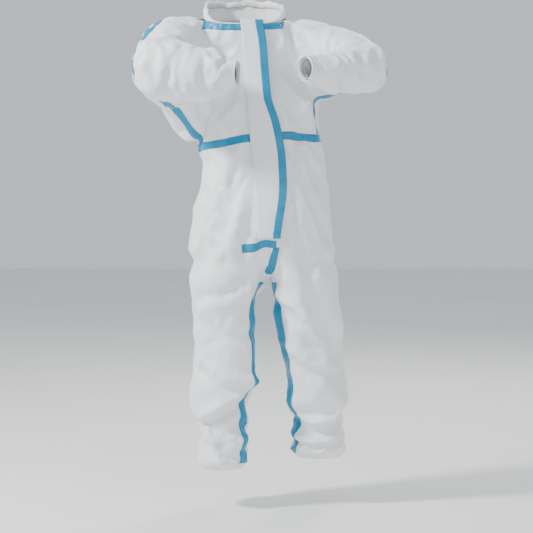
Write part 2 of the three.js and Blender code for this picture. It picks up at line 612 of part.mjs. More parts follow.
// A strip of fabric behind the zip, against the wearer.
const FACING_WIDTH = 46;
const FACING_SINK = 7; // behind the zip's middle plane
const FACING_OVERRUN = 12; // below the zip's end
add("zip_facing", zipBox((ZIP_LENGTH + FACING_OVERRUN) / 2, 2, -FACING_SINK,
  [FACING_WIDTH, 1, ZIP_LENGTH + FACING_OVERRUN]), fabric());

// ---------------------------------------------------------------- white panels
const frontSide = inFrontOfSides(-SEAM_GAP / 2);
const backSide = inFrontOfSides(SEAM_GAP / 2);
const bodice = skin.intersect(aboveChest());
const sides = { right: -1, left: 1 };
for (const [name, side] of Object.entries(sides)) {
  const arm = arms[name];
  add(`bodice_front_${name}`, common(bodice, frontSide, besideCentre(side)).subtract(zipSlot), fabric());
  add(`trousers_${name}`, common(skin, belowChest(), besideCentre(side)).subtract(zipSlot), fabric());
  add(`forearm_${name}`, forearmLayer(arm, -WALL, 0), fabric());
}
add("bodice_back", bodice.subtract(backSide), fabric());

// ---------------------------------------------------------------- seam tapes
const HALF_TAPE = TAPE_WIDTH / 2;
// A band of a given half width about a line of [x, z] points, seen from the front.
const upright = (points, halfWidth) => frontPrism([
  ...points.map(([x, z]) => [x - halfWidth, z]),
  ...[...points].reverse().map(([x, z]) => [x + halfWidth, z]),
]);
const levelBand = (points, halfHeight) => frontPrism([
  ...points.map(([x, z]) => [x, z - halfHeight]),
  ...[...points].reverse().map(([x, z]) => [x, z + halfHeight]),
]);
const inFrontOf = (y) => sidePrism([[y, -2 * FAR], [y, FAR], [-FAR, FAR], [-FAR, -2 * FAR]], -FAR, FAR);
const neckBand = halfSpace(neckPoint, neckNormal, -TAPE_WIDTH);
const FLAP_EDGE_AT_NECK = 35; // x of the storm flap's free edge at the neck
const rootX = (z) => zipPointAt(z).x - FLAP_ROOT_SIDE;

const behindNeckMiddle = (shift) => halfSpace(V(0, torsoMiddleY(NECK_Z) + shift, 0), V(0, 1, 0), 0);
const besideNeck = (from, to) => frontPrism([[from, -FAR], [from, FAR], [to, FAR], [to, -FAR]]);
const neckHalf = NECK_WIDTH / 2;
const NECK_TAPE_LIFT = 2 * TAPE_LIFT; // the shoulders slope away here, which narrows the gap under the tape
const neckTapes = trimmed(layer(NECK_TAPE_LIFT, NECK_TAPE_LIFT + TAPE_THICKNESS)).intersect(neckBand);
const NECK_SIDE_SHARE = 0.35; // of the half depth: where the front tapes stop, before the neck's middle
const neckFrontTapes = neckTapes.subtract(behindNeckMiddle(-NECK_SIDE_SHARE * NECK_DEPTH / 2));
add("neck_tape_front_right", neckFrontTapes.intersect(besideNeck(NECK_X - neckHalf, rootX(0) - 2)), blue());
add("neck_tape_front_left", neckFrontTapes.intersect(besideNeck(FLAP_EDGE_AT_NECK - HALF_TAPE,
  NECK_X + neckHalf)), blue());
add("neck_tape_back", neckTapes.intersect(behindNeckMiddle(NECK_SIDE_SHARE * NECK_DEPTH / 2))
  .intersect(besideNeck(NECK_X - neckHalf, NECK_X + neckHalf)), blue());

const chestBand = common(tapeLayer, aboveChest(-HALF_TAPE), belowChest(-HALF_TAPE));
const chestFront = chestBand.intersect(frontSide);
const rootLine = (shift) => [[rootX(NECK_Z) + shift, NECK_Z], [rootX(CROTCH_Z) + shift, CROTCH_Z]];
const rightOfRoot = frontPrism([...rootLine(-2), [-FAR, CROTCH_Z], [-FAR, NECK_Z]]);
add("chest_tape_front_right", chestFront.intersect(rightOfRoot), blue());
add("chest_tape_front_left", chestFront.intersect(besideCentre(1, ZIP_SLOT_HALF)), blue());
add("chest_tape_back", chestBand.subtract(backSide), blue());

const sideBand = inFrontOfSides(HALF_TAPE).subtract(inFrontOfSides(-HALF_TAPE));
const sleeveTapes = common(tapeLayer, sideBand, aboveChest(HALF_TAPE + SEAM_GAP)).subtract(common(
  halfSpace(neckPoint, neckNormal, -TAPE_WIDTH - SEAM_GAP),
  besideNeck(NECK_X - neckHalf - SEAM_GAP, NECK_X + neckHalf + SEAM_GAP),
));
const MIDDLE_OF_SLEEVE_Z = -0.17 * TORSO_LENGTH;
const FOREARM_SEAM_SHIFT = 4; // the forearm's tape lies wholly on the side that faces the chest
for (const [name, side] of Object.entries(sides)) {
  const arm = arms[name];
  const outer = besideCentre(side, 0);
  const above = halfSpace(V(0, 0, MIDDLE_OF_SLEEVE_Z), V(0, 0, 1));
  add(`shoulder_tape_${name}`, common(sleeveTapes, outer, above), blue());
  add(`underarm_tape_${name}`, common(sleeveTapes, outer).subtract(above), blue());
  // The forearm's seam faces the chest.
  const line = [-0.2, 0.2, 0.6, 0.97].map((share) => forearmCentre(arm, share)).map((p) => [p.x, p.z]);
  const tapeTube = forearmLayer(arm, TAPE_LIFT, TAPE_LIFT + TAPE_THICKNESS);
  const toChest = V(0, 0, 0).crossVectors(V(0, 0, -side), arm.foreDirection).normalize();
  const chestHalf = halfSpace(arm.elbow, toChest, FOREARM_SEAM_SHIFT);
  add(`forearm_tape_${name}`, common(tapeTube, levelBand(line, HALF_TAPE), chestHalf), blue());
}

const FLAP_END_Z = -0.885 * TORSO_LENGTH; // middle of the tape across the storm flap's lower end
const flapEndLine = [[-22, FLAP_END_Z - 2], [20, FLAP_END_Z - 3], [40, FLAP_END_Z + 3], [68, FLAP_END_Z + 1]];
const frontTape = tapeLayer.intersect(inFrontOf(-40));
add("flap_end_tape", frontTape.intersect(levelBand(flapEndLine, HALF_TAPE)), blue());
const crotchFrontLine = [
  [69, FLAP_END_Z - HALF_TAPE - 1],
  [57, -0.95 * TORSO_LENGTH],
  [49, -0.985 * TORSO_LENGTH],
];
add("crotch_tape_front", common(frontTape, upright(crotchFrontLine, HALF_TAPE - 1))
  .subtract(levelBand(flapEndLine, HALF_TAPE + SEAM_GAP)), blue());
const backSeamLine = heights(TORSO_TOP_Z, 0.97 * CROTCH_Z, 6).map((z) => [centreX(z), z]);
add("crotch_tape_back", common(tapeLayer, belowChest(HALF_TAPE + SEAM_GAP), upright(backSeamLine, HALF_TAPE))
  .subtract(inFrontOf(20)), blue());
const INSEAM_SIDE = 0.86; // share of the leg's half width, from its middle towards the other leg
for (const [name, { rows, hemZ, inward }] of Object.entries(legs)) {
  const line = heights(CROTCH_Z - 14, hemZ + 1, 12).map((z) => {
    const [x, , halfWidth] = between(rows, z);
    return [x + inward * INSEAM_SIDE * halfWidth, z];
  });
  const middleY = heights(CROTCH_Z, hemZ, 8).map((z) => [between(rows, z)[1], z]);
  const front = sidePrism([[middleY[0][0], 0], ...middleY, [middleY[middleY.length - 1][0], -2 * FAR],
    [-FAR, -2 * FAR], [-FAR, 0]], -FAR, FAR);
  add(`inseam_tape_${name}`, common(tapeLayer, upright(line, HALF_TAPE * 0.8), front), blue());
}

// ---------------------------------------------------------------- storm flap
// Height as a share of the torso's length, and the free edge's distance from the line where the flap is
// sewn on.
const flapRows = [
  [-0.002 * TORSO_LENGTH, 56],
  [-0.085 * TORSO_LENGTH, 61],
  [-0.31 * TORSO_LENGTH, 62],
  [-0.4 * TORSO_LENGTH, 77],
  [-0.52 * TORSO_LENGTH, 86],
  [-0.64 * TORSO_LENGTH, 84],
  [-0.715 * TORSO_LENGTH, 77],
  [-0.83 * TORSO_LENGTH, 60],
  [-0.862 * TORSO_LENGTH, 56],
];
const flapHeights = heights(flapRows[0][0], flapRows[flapRows.length - 1][0], 14);
const flapWidth = (z) => between(flapRows, z)[0];
// The part of a layer between two distances: each is a function of height, measured from the sewn line.
function alongFlap(inner, outer) {
  return frontPrism([
    ...flapHeights.map((z) => [rootX(z) + inner(z), z]),
    ...[...flapHeights].reverse().map((z) => [rootX(z) + outer(z), z]),
  ], -FAR, -40);
}
const FLAP_ROOT_WIDTH = 3;
const FLAP_TOP_CLEAR = FLAP_LIFT - SEAM_GAP;
add("storm_flap", layer(FLAP_LIFT, FLAP_LIFT + FLAP_THICKNESS)
  .intersect(alongFlap(() => 0, flapWidth)), fabric());
add("flap_root", layer(SEAM_GAP, FLAP_TOP_CLEAR)
  .intersect(alongFlap(() => 0, () => FLAP_ROOT_WIDTH)), fabric());
const flapFace = FLAP_LIFT + FLAP_THICKNESS + TAPE_LIFT;
add("flap_edge_tape", layer(flapFace, flapFace + TAPE_THICKNESS)
  .intersect(alongFlap((z) => flapWidth(z) - TAPE_WIDTH - 2, flapWidth)), blue());
const ADHESIVE_WIDTH = 10;
const ADHESIVE_THICKNESS = 0.8;
add("flap_adhesive", layer(FLAP_LIFT - SEAM_GAP - ADHESIVE_THICKNESS, FLAP_LIFT - SEAM_GAP)
  .intersect(alongFlap((z) => flapWidth(z) - ADHESIVE_WIDTH - 4, (z) => flapWidth(z) - 4)), zipPlastic());

// ---------------------------------------------------------------- hood, folded down the back
const COLLAR_FLARE = 7; // outwards, over the collar's height
const COLLAR_CUT_BACK = 112; // how far the collar's top edge is set back from its front foot
function collarSolid(grow, over = 0) {
  const foot = torsoRing(NECK_Z, 0, grow);
  const rings = [-over, 0.5, 1 + over].map((share) => foot.map((p) => {
    const middle = V(NECK_X, torsoMiddleY(NECK_Z), 0);
    const outwards = p.clone().sub(middle).setZ(0).normalize();
    const at = p.clone().addScaledVector(outwards, COLLAR_FLARE * share * share);
    at.z = NECK_Z + SEAM_GAP + Math.tan(NECK_TILT) * at.y + share * COLLAR_HEIGHT;
    return at;
  }));
  return loft(rings.reverse(), ROUND_SEGMENTS);
}
const neckFrontY = torsoMiddleY(NECK_Z) - NECK_DEPTH / 2;
const collarCut = sidePrism([
  [neckFrontY + 22, NECK_Z - 60], [neckFrontY + 22, NECK_Z - 8],
  [neckFrontY + 22 + COLLAR_CUT_BACK, NECK_Z + COLLAR_HEIGHT + 30], [-FAR, NECK_Z + COLLAR_HEIGHT + 30],
  [-FAR, NECK_Z - 60],
], -FAR, FAR);
const collarBase = halfSpace(neckPoint, neckNormal, SEAM_GAP);
const collarShell = (inside, outside) => collarSolid(outside).subtract(collarSolid(inside, 0.5))
  .intersect(collarBase).subtract(collarCut);
add("hood_collar", collarShell(-WALL, 0), fabric());
const rimPlane = neckPoint.clone().addScaledVector(V(0, 0, 1), COLLAR_HEIGHT - ELASTIC_WIDTH);
add("hood_elastic", collarShell(-WALL - SEAM_GAP - ELASTIC_THICKNESS, -WALL - SEAM_GAP)
  .intersect(halfSpace(rimPlane, neckNormal, 0)), elastic());

const backOfTorso = (z) => torsoMiddleY(z) + between(torsoRows, z)[2];
const foldZ = NECK_Z + COLLAR_HEIGHT + Math.tan(NECK_TILT) * backOfTorso(NECK_Z) - 2;
const HOOD_CLEAR = 6; // between the folded hood and the back
const HOOD_SHARES = [0, 0.07, 0.14, 0.22, 0.3, 0.42, 0.62, 0.85, 1]; // of the drop
const HOOD_HALF_WIDTHS = [0.3, 0.38, 0.43, 0.46, 0.48, 0.5, 0.5, 0.4, 0.22]; // of the hood's width
const HOOD_HALF_THICKNESSES = [0.2, 0.3, 0.36, 0.42, 0.46, 0.5, 0.5, 0.44, 0.2]; // of its thickness
function hoodSolid(grow) {
  const rings = HOOD_SHARES.map((share, i) => {
    const z = foldZ - share * HOOD_DROP;
    const halfThickness = HOOD_HALF_THICKNESSES[i] * HOOD_THICKNESS;
    const rest = Math.max(backOfTorso(Math.min(z, NECK_Z) - 12), backOfTorso(NECK_Z) + COLLAR_FLARE);
    return ring(V(NECK_X + 10 * share, rest + HOOD_CLEAR + halfThickness, z),
      V(HOOD_HALF_WIDTHS[i] * HOOD_WIDTH + grow, 0, 0), V(0, halfThickness + grow, 0), ROUND_SEGMENTS, 2.6);
  });
  return loft(rings, ROUND_SEGMENTS);
}
const hoodPouch = hoodSolid(0);
const HOOD_SEAM_SIDE = 0.17 * HOOD_WIDTH; // from the middle to the seam of each side panel
const hoodSeamLine = (side) => heights(FAR, -FAR, 2).map((z) => [NECK_X + 5 + side * HOOD_SEAM_SIDE, z]);
const hoodMiddle = upright([[NECK_X + 5, FAR], [NECK_X + 5, -FAR]], HOOD_SEAM_SIDE);
const beyondHoodSeam = (side) => frontPrism([...hoodSeamLine(side).map(([x, z]) => [x + side * SEAM_GAP, z]),
  [side * FAR, -FAR], [side * FAR, FAR]]);
add("hood_centre", hoodPouch.intersect(hoodMiddle), fabric());
const hoodTapeLayer = hoodSolid(TAPE_LIFT + TAPE_THICKNESS).subtract(hoodSolid(TAPE_LIFT));
const hoodBackY = backOfTorso(-0.2 * TORSO_LENGTH) + HOOD_CLEAR;
for (const [name, side] of Object.entries(sides)) {
  add(`hood_side_${name}`, hoodPouch.intersect(beyondHoodSeam(side)), fabric());
  const strip = upright(hoodSeamLine(side), HALF_TAPE);
  const outerFace = hoodTapeLayer.intersect(strip).subtract(inFrontOf(backOfTorso(NECK_Z) + HOOD_CLEAR + 8));
  const belowFold = halfSpace(V(0, 0, foldZ - 4), V(0, 0, -1), 0);
  const aboveEnd = halfSpace(V(0, 0, foldZ - 0.93 * HOOD_DROP), V(0, 0, 1), 0);
  const behindOutline = [[hoodBackY, -FAR], [backOfTorso(NECK_Z) + 8, foldZ], [FAR, foldZ], [FAR, -FAR]];
  const behind = sidePrism(behindOutline, -FAR, FAR);
  add(`hood_tape_${name}`, common(outerFace, belowFold, aboveEnd, behind), blue());
}

// ---------------------------------------------------------------- elastics inside the openings and the waist
const elasticInside = -WALL - SEAM_GAP - ELASTIC_THICKNESS;
const elasticOutside = -WALL - SEAM_GAP;
for (const name of Object.keys(sides)) {
  const arm = arms[name];
  const bandStart = arm.wrist.clone().addScaledVector(arm.foreDirection, -ELASTIC_WIDTH);
  const end = halfSpace(bandStart, arm.foreDirection, 0);
  const ringOf = (grow, reach) => forearmSolid(arm, grow, reach);
  add(`wrist_elastic_${name}`, ringOf(elasticOutside).subtract(ringOf(elasticInside, OPEN_REACH))
    .intersect(end), elastic());
  const leg = legs[name];
  const hem = halfSpace(V(0, 0, leg.hemZ + ELASTIC_WIDTH), V(0, 0, -1), 0);
  const legBand = legSolid(leg, elasticOutside).subtract(legSolid(leg, elasticInside, OPEN_REACH));
  add(`ankle_elastic_${name}`, legBand.intersect(hem), elastic());
}
const WAIST_Z = -0.59 * TORSO_LENGTH;
const waistBand = common(halfSpace(V(0, 0, WAIST_Z - ELASTIC_WIDTH), V(0, 0, 1), 0),
  halfSpace(V(0, 0, WAIST_Z + ELASTIC_WIDTH), V(0, 0, -1), 0));
add("waist_elastic", common(torsoSolid(elasticOutside).subtract(torsoSolid(elasticInside)), waistBand)
  .subtract(inFrontOf(torsoMiddleY(WAIST_Z) + 30)), elastic());

export default suit;
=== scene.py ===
# %% [markdown]
# A hooded protective coverall, empty, in the shape its wearer gave it. The real one is cut from a thin
# laminate, sewn, and every seam is then covered with a blue tape. This lesson builds it the way it is made:
# one shell of cloth is draped over a plain inner form by simulation, the shell is cut into its panels along
# the seams, and the tapes are cut from the same draped surface, so they follow every fold.

# %% The frame, and the tools of the lesson
import math

import bmesh
import bpy
import numpy as np
from mathutils import Matrix, Vector, noise


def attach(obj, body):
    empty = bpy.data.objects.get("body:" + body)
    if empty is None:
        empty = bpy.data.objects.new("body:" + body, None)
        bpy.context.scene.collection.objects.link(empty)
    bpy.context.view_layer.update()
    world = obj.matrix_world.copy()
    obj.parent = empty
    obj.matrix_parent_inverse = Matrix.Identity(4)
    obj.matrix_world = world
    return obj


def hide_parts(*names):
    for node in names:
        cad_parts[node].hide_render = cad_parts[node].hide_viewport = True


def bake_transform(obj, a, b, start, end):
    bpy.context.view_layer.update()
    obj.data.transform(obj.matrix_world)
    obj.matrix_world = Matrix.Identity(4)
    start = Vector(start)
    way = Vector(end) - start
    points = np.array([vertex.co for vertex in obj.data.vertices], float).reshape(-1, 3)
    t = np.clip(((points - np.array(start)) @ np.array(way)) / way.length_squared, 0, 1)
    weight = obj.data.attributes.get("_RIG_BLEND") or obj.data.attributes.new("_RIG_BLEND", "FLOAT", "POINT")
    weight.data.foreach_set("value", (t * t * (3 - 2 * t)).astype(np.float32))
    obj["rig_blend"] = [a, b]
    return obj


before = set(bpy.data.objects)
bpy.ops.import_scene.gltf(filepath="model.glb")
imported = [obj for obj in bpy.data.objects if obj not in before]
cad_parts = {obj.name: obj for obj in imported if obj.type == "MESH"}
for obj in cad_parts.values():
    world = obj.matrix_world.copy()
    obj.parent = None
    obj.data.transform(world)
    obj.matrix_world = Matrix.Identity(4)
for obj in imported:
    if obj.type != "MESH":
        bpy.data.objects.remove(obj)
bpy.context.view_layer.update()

# %% [markdown]
# The camera comes first, so that every later step can be looked at. It stands five metres off, a little
# above the middle of the suit, and looks slightly down at it through a long lens, which keeps the suit's
# proportions true.

# %% Camera
LOOK_AT = Vector((0.0437, 0.0, -0.6532))
CAMERA_DISTANCE = 5.0
CAMERA_RISE = math.radians(4)
camera = bpy.data.objects.new("camera", bpy.data.cameras.new("camera"))
camera.data.sensor_width = 36
camera.data.lens = 126.0
camera.data.clip_end = 60
camera.location = LOOK_AT + CAMERA_DISTANCE * Vector((0, -math.cos(CAMERA_RISE), math.sin(CAMERA_RISE)))
camera.rotation_euler = (math.radians(90) - CAMERA_RISE, 0, 0)
bpy.context.scene.collection.objects.link(camera)
bpy.context.scene.camera = camera
print("camera at", tuple(round(v, 3) for v in camera.location))

# %% [markdown]
# All the shapes are worked out in millimetres, the unit a pattern cutter uses, and become metres only when
# a mesh is made. A section of the body is a rounded ring. A row of rings joined by faces is a loft.

# %% Rings and lofts
MM = 0.001


def between(rows, height):
    """Smooth values between rows of (height, value ...), highest first."""
    count = len(rows) - 1
    i = 0
    while i < count - 1 and height < rows[i + 1][0]:
        i += 1
    t = min(1, max(0, (rows[i][0] - height) / (rows[i][0] - rows[i + 1][0])))
    p0, p1, p2, p3 = (np.array(rows[min(count, max(0, j))][1:], float) for j in (i - 1, i, i + 1, i + 2))
    m1, m2 = (p2 - p0) / 2, (p3 - p1) / 2
    return ((2 * t**3 - 3 * t**2 + 1) * p1 + (t**3 - 2 * t**2 + t) * m1
            + (3 * t**2 - 2 * t**3) * p2 + (t**3 - t**2) * m2)


def ring(centre, across, upward, segments, squareness=2.0):
    angle = (np.arange(segments) + 0.5) / segments * 2 * math.pi
    cos, sin = np.cos(angle), np.sin(angle)
    power = 2 / squareness
    u = np.sign(cos) * np.abs(cos) ** power
    v = np.sign(sin) * np.abs(sin) ** power
    return np.array(centre, float) + np.outer(u, across) + np.outer(v, upward)


def loft(rings):
    """One closed tube through rings, as points and faces."""
    segments = len(rings[0])
    points = np.vstack(rings + [rings[0].mean(0)[None], rings[-1].mean(0)[None]])
    faces = []
    for r in range(len(rings) - 1):
        for s in range(segments):
            a, b = r * segments + s, r * segments + (s + 1) % segments
            faces.append((a, b, b + segments, a + segments))
    first, last = len(points) - 2, (len(rings) - 1) * segments
    for s in range(segments):
        n = (s + 1) % segments
        faces += [(first, n, s), (first + 1, last + s, last + n)]
    return points, faces


def linked(name, data):
    obj = bpy.data.objects.new(name, data)
    bpy.context.scene.collection.objects.link(obj)
    return obj


def mesh_object(name, points, faces):
    """An object at the origin whose mesh holds the given points, in millimetres."""
    mesh = bpy.data.meshes.new(name)
    mesh.from_pydata((np.asarray(points, float) * MM).tolist(), [], [tuple(map(int, f)) for f in faces])
    mesh.update()
    bm = bmesh.new()
    bm.from_mesh(mesh)
    bmesh.ops.recalc_face_normals(bm, faces=bm.faces)
    bm.to_mesh(mesh)
    bm.free()
    mesh.polygons.foreach_set("use_smooth", [True] * len(mesh.polygons))
    return linked(name, mesh)


def evaluated_copy(obj):
    """The object's mesh with its modifiers worked in."""
    bpy.context.view_layer.update()
    graph = bpy.context.evaluated_depsgraph_get()
    return bpy.data.meshes.new_from_object(obj.evaluated_get(graph), depsgraph=graph)


def settle(obj):
    """Replaces an object's mesh by its evaluated one and takes its modifiers off."""
    mesh = evaluated_copy(obj)
    obj.modifiers.clear()
    obj.data = mesh
    return obj


def coordinates(mesh):
    flat = np.empty(len(mesh.vertices) * 3)
    mesh.vertices.foreach_get("co", flat)
    return flat.reshape(-1, 3) / MM


def set_coordinates(mesh, points):
    mesh.vertices.foreach_set("co", (np.asarray(points) * MM).ravel())
    mesh.update()


def vertex_normals(mesh):
    flat = np.empty(len(mesh.vertices) * 3, np.float32)
    mesh.vertex_normals.foreach_get("vector", flat)
    return flat.reshape(-1, 3).astype(float)


def unit(v):
    v = np.array(v, float)
    return v / np.linalg.norm(v)


# %% [markdown]
# The suit's own measurements: the same sections that the solid model was built from. The torso leans a
# little, its front follows the straight line of the zip, and each leg and sleeve is a tube with its own
# rows.

# %% Torso
TORSO = 662
CROTCH_Z, RIGHT_HEM_Z, LEFT_HEM_Z = -662, -1190, -1169
NECK_MIDDLE = np.array((-16.0, 0.0, 10.0))
NECK_TILT = math.radians(13)
NECK_UP = np.array((0, -math.sin(NECK_TILT), math.cos(NECK_TILT)))
SQUARE_TORSO, SQUARE_LEG = 2.3, 2.1
ZIP_TOP = np.array((7, -99, -0.04 * TORSO))
ZIP_END = np.array((47, -141, -0.772 * TORSO))
ZIP_DOWN = unit(ZIP_END - ZIP_TOP)
ZIP_LENGTH = np.linalg.norm(ZIP_END - ZIP_TOP)
ZIP_OUT = unit(np.array((0, -1, 0)) + ZIP_DOWN * ZIP_DOWN[1])
ZIP_LEFT = unit(np.cross(ZIP_OUT, ZIP_DOWN))
# Height, middle x, half width, half depth.
TORSO_ROWS = [
    (46, -16, 106, 84), (7, -16, 106, 84), (-30, -8, 142, 102), (-113, 12, 160, 120), (-212, 18, 165, 128),
    (-306.5, 27, 165, 128), (-390, 39, 162, 124), (-477, 33, 182, 132), (-556, 30, 190, 135),
    (-609, 35, 188, 124), (-662, 47, 109, 70),
]


def zip_at(z):
    return ZIP_TOP + ZIP_DOWN * ((z - ZIP_TOP[2]) / ZIP_DOWN[2])


def front_share(x, middle, half):
    share = min(0.999, abs((x - middle) / half))
    return (1 - share**SQUARE_TORSO) ** (1 / SQUARE_TORSO)


def torso_middle_y(z):
    z = max(z, ZIP_END[2])
    x, half_width, half_depth = between(TORSO_ROWS, z)
    at_zip = zip_at(z)
    return at_zip[1] + half_depth * front_share(at_zip[0], x, half_width)


def torso_ring(z, at_z, grow, segments=64):
    x, half_width, half_depth = between(TORSO_ROWS, z)
    return ring((x, torso_middle_y(z), at_z), (half_width + grow, 0, 0), (0, half_depth + grow, 0),
                segments, SQUARE_TORSO)


def torso_front_y(x, z, grow=0.0):
    middle, half_width, half_depth = between(TORSO_ROWS, z)
    return torso_middle_y(z) - (half_depth + grow) * front_share(x, middle, half_width + grow)


def torso_loft(grow, reach=0):
    rings = [torso_ring(z, z, grow) for z in np.linspace(46, -662, 44)]
    if reach:
        rings.insert(0, torso_ring(46, 46 + reach, grow))
    return loft(rings)


# %% Legs
# Share of the leg below the crotch, middle x, middle y, half width, half depth.
RIGHT_LEG = [
    (-0.163, -50, -6, 85, 100), (0, -56, -6, 107, 110), (0.1, -71, -6, 89, 102),
    (0.2, -75, -8, 82, 94), (0.38, -69, -14, 82, 86), (0.53, -75, -20, 84, 86),
    (0.63, -87, -20, 77, 80), (0.73, -76, -22, 67, 74), (0.81, -71, -24, 65, 72),
    (0.9, -73, -26, 68, 74), (0.98, -74, -28, 65, 70), (1, -74, -28, 52, 56),
]
LEFT_LEG = [
    (-0.163, 118, -4, 85, 100), (0, 141, -4, 93, 110), (0.1, 147, -2, 89, 102),
    (0.26, 160, 6, 93, 92), (0.4, 164, 14, 84, 86), (0.53, 176, 20, 82, 86),
    (0.65, 184, 26, 82, 82), (0.73, 187, 30, 67, 72), (0.83, 182, 32, 72, 74),
    (0.97, 184, 34, 76, 74), (1, 185, 34, 58, 58),
]


def leg_rows(shares, hem_z):
    return [(CROTCH_Z - share * (CROTCH_Z - hem_z), *rest) for share, *rest in shares]


LEGS = {
    "right": {"side": -1, "hem": RIGHT_HEM_Z, "rows": leg_rows(RIGHT_LEG, RIGHT_HEM_Z)},
    "left": {"side": 1, "hem": LEFT_HEM_Z, "rows": leg_rows(LEFT_LEG, LEFT_HEM_Z)},
}


def leg_loft(leg, grow, reach=0, segments=44):
    rings = []
    for z in np.linspace(CROTCH_Z + 86, leg["hem"], 48):
        x, y, half_width, half_depth = between(leg["rows"], z)
        rings.append(ring((x, y, z), (half_width + grow, 0, 0), (0, half_depth + grow, 0), segments,
                          SQUARE_LEG))
    if reach:
        rings.append(rings[-1] - np.array((0, 0, reach)))
    return loft(rings)


# %% Sleeves
ARMS = {
    "right": {"side": -1, "elbow": np.array((-230.0, -196, -118)), "wrist": np.array((-30.0, -240, -146)),
              "radius": 76, "fullness": 1.0,
              "upper": [((-66, 12, -140), 120, 84), ((-124, 0, -142), 138, 84), ((-166, -42, -142), 160, 82),
                        ((-206, -108, -103), 114, 80), ((-224, -152, -106), 98, 79)]},
    "left": {"side": 1, "elbow": np.array((303.0, -128, -112)), "wrist": np.array((142.0, -240, -134)),
             "radius": 59.3, "fullness": 0.78,
             "upper": [((84, 12, -100), 94, 84), ((142, 4, -98), 112, 84), ((204, -32, -96), 92, 78),
                       ((254, -76, -92), 76, 70)]},
}
for arm in ARMS.values():
    last = np.array(arm["upper"][-1][0], float)
    arm["upper_way"] = unit(arm["elbow"] - last)
    arm["fore_way"] = unit(arm["wrist"] - arm["elbow"])
    arm["fore_length"] = np.linalg.norm(arm["wrist"] - arm["elbow"])
    arm["mitre"] = unit(arm["upper_way"] + arm["fore_way"])
    arm["outward"] = unit(arm["upper_way"] - arm["fore_way"])
ELBOW_STEPS = (0.3, 0.5, 0.7, 0.87, 0.96)
CUFF_DROOP = 6


def limb_ring(centre, way, half_height, half_depth, segments=44):
    across = unit(np.cross(way, (0, 0, 1)))
    return ring(centre, across * half_depth, np.array((0, 0, half_height)), segments)


def elbow_rings(arm, way, turn, grow):
    radius = arm["radius"] + grow
    return [limb_ring(arm["elbow"] + way * radius * step, turn, radius * math.sqrt(1 - step * step),
                      radius * math.sqrt(1 - step * step)) for step in ELBOW_STEPS]


def upper_sleeve_loft(arm, grow):
    stations = arm["upper"] + [(tuple(arm["elbow"]), arm["radius"], arm["radius"])]
    spots = [np.array(s[0], float) for s in stations]
    rings = []
    for i, (_, half_height, half_depth) in enumerate(stations):
        way = unit(spots[min(len(spots) - 1, i + 1)] - spots[max(0, i - 1)])
        rings.append(limb_ring(spots[i], way, half_height + grow, half_depth + grow))
    return loft(rings + elbow_rings(arm, arm["upper_way"], arm["upper_way"], grow))


def forearm_centre(arm, share):
    centre = arm["elbow"] + arm["fore_way"] * share * arm["fore_length"]
    return centre - np.array((0, 0, CUFF_DROOP * math.sin(math.pi * min(1, share))))


def forearm_radius(arm, share):
    full = arm["fullness"]
    rows = [(0, arm["radius"]), (-0.3, 0.98 * arm["radius"]), (-0.62, 64 * full), (-0.86, 46 * full),
            (-1, 31)]
    return between(rows, -share)[0]


def forearm_loft(arm, grow, reach=0):
    rings = elbow_rings(arm, -arm["fore_way"], arm["fore_way"], grow)[::-1]
    for share in np.linspace(0, 1, 16):
        radius = forearm_radius(arm, share) + grow
        rings.append(limb_ring(forearm_centre(arm, share), arm["fore_way"], radius, radius))
    if reach:
        rings.append(rings[-1] + arm["fore_way"] * reach)
    return loft(rings)


# %% [markdown]
# All the tubes are put together and skinned by a voxel remesh, which gives one even net of small squares.
# That is what a cloth simulation likes. The closed ends are then cut open at the neck, wrists and ankles.

# %% One skin over all the tubes
VOXEL = 10.0
END_REACH = 34


def body_form(name, grow, reach, voxel):
    parts = [torso_loft(grow, reach)]
    parts += [leg_loft(leg, grow, reach) for leg in LEGS.values()]
    for arm in ARMS.values():
        parts += [upper_sleeve_loft(arm, grow), forearm_loft(arm, grow, reach)]
    points, faces = [], []
    for p, f in parts:
        faces += [tuple(i + sum(map(len, points)) for i in face) for face in f]
        points.append(p)
    form = mesh_object(name, np.vstack(points), faces)
    remesh = form.modifiers.new("skin", "REMESH")
    remesh.mode = "VOXEL"
    remesh.voxel_size = voxel * MM
    return settle(form)


garment = body_form("garment", 0, END_REACH, VOXEL)
print("skin:", len(garment.data.vertices), "points")

# %% Opening the neck, the wrists and the ankles
def cut_open(bm, point, outwards, near):
    """Removes what lies past a plane, among the faces that near() picks by their middle."""
    faces = [f for f in bm.faces if near(np.array(f.calc_center_median()) / MM)]
    edges = {e for f in faces for e in f.edges}
    verts = {v for f in faces for v in f.verts}
    bmesh.ops.bisect_plane(bm, geom=faces + list(edges) + list(verts), plane_co=Vector(point) * MM,
                           plane_no=Vector(outwards), clear_outer=True, dist=0.0005)


bm = bmesh.new()
bm.from_mesh(garment.data)
NECK_CUT_HALF = 111  # half width of the cut: the shoulders beyond it stay whole
cut_open(bm, NECK_MIDDLE, NECK_UP,
         lambda p: abs(p[0] - NECK_MIDDLE[0]) < NECK_CUT_HALF and (p - NECK_MIDDLE) @ NECK_UP > -30)
cut_open(bm, (0, 0, RIGHT_HEM_Z), (0, 0, -1), lambda p: p[2] < RIGHT_HEM_Z + 25 and p[0] < 40)
cut_open(bm, (0, 0, LEFT_HEM_Z), (0, 0, -1), lambda p: p[2] < LEFT_HEM_Z + 25 and p[0] > 40)
for arm in ARMS.values():
    cut_open(bm, arm["wrist"], arm["fore_way"], lambda p, arm=arm: np.linalg.norm(p - arm["wrist"]) < 80)
bmesh.ops.remove_doubles(bm, verts=bm.verts, dist=3.0 * MM)
bm.to_mesh(garment.data)
bm.free()
rest = coordinates(garment.data)
print("opened:", len(rest), "points,", len(garment.data.polygons), "faces")

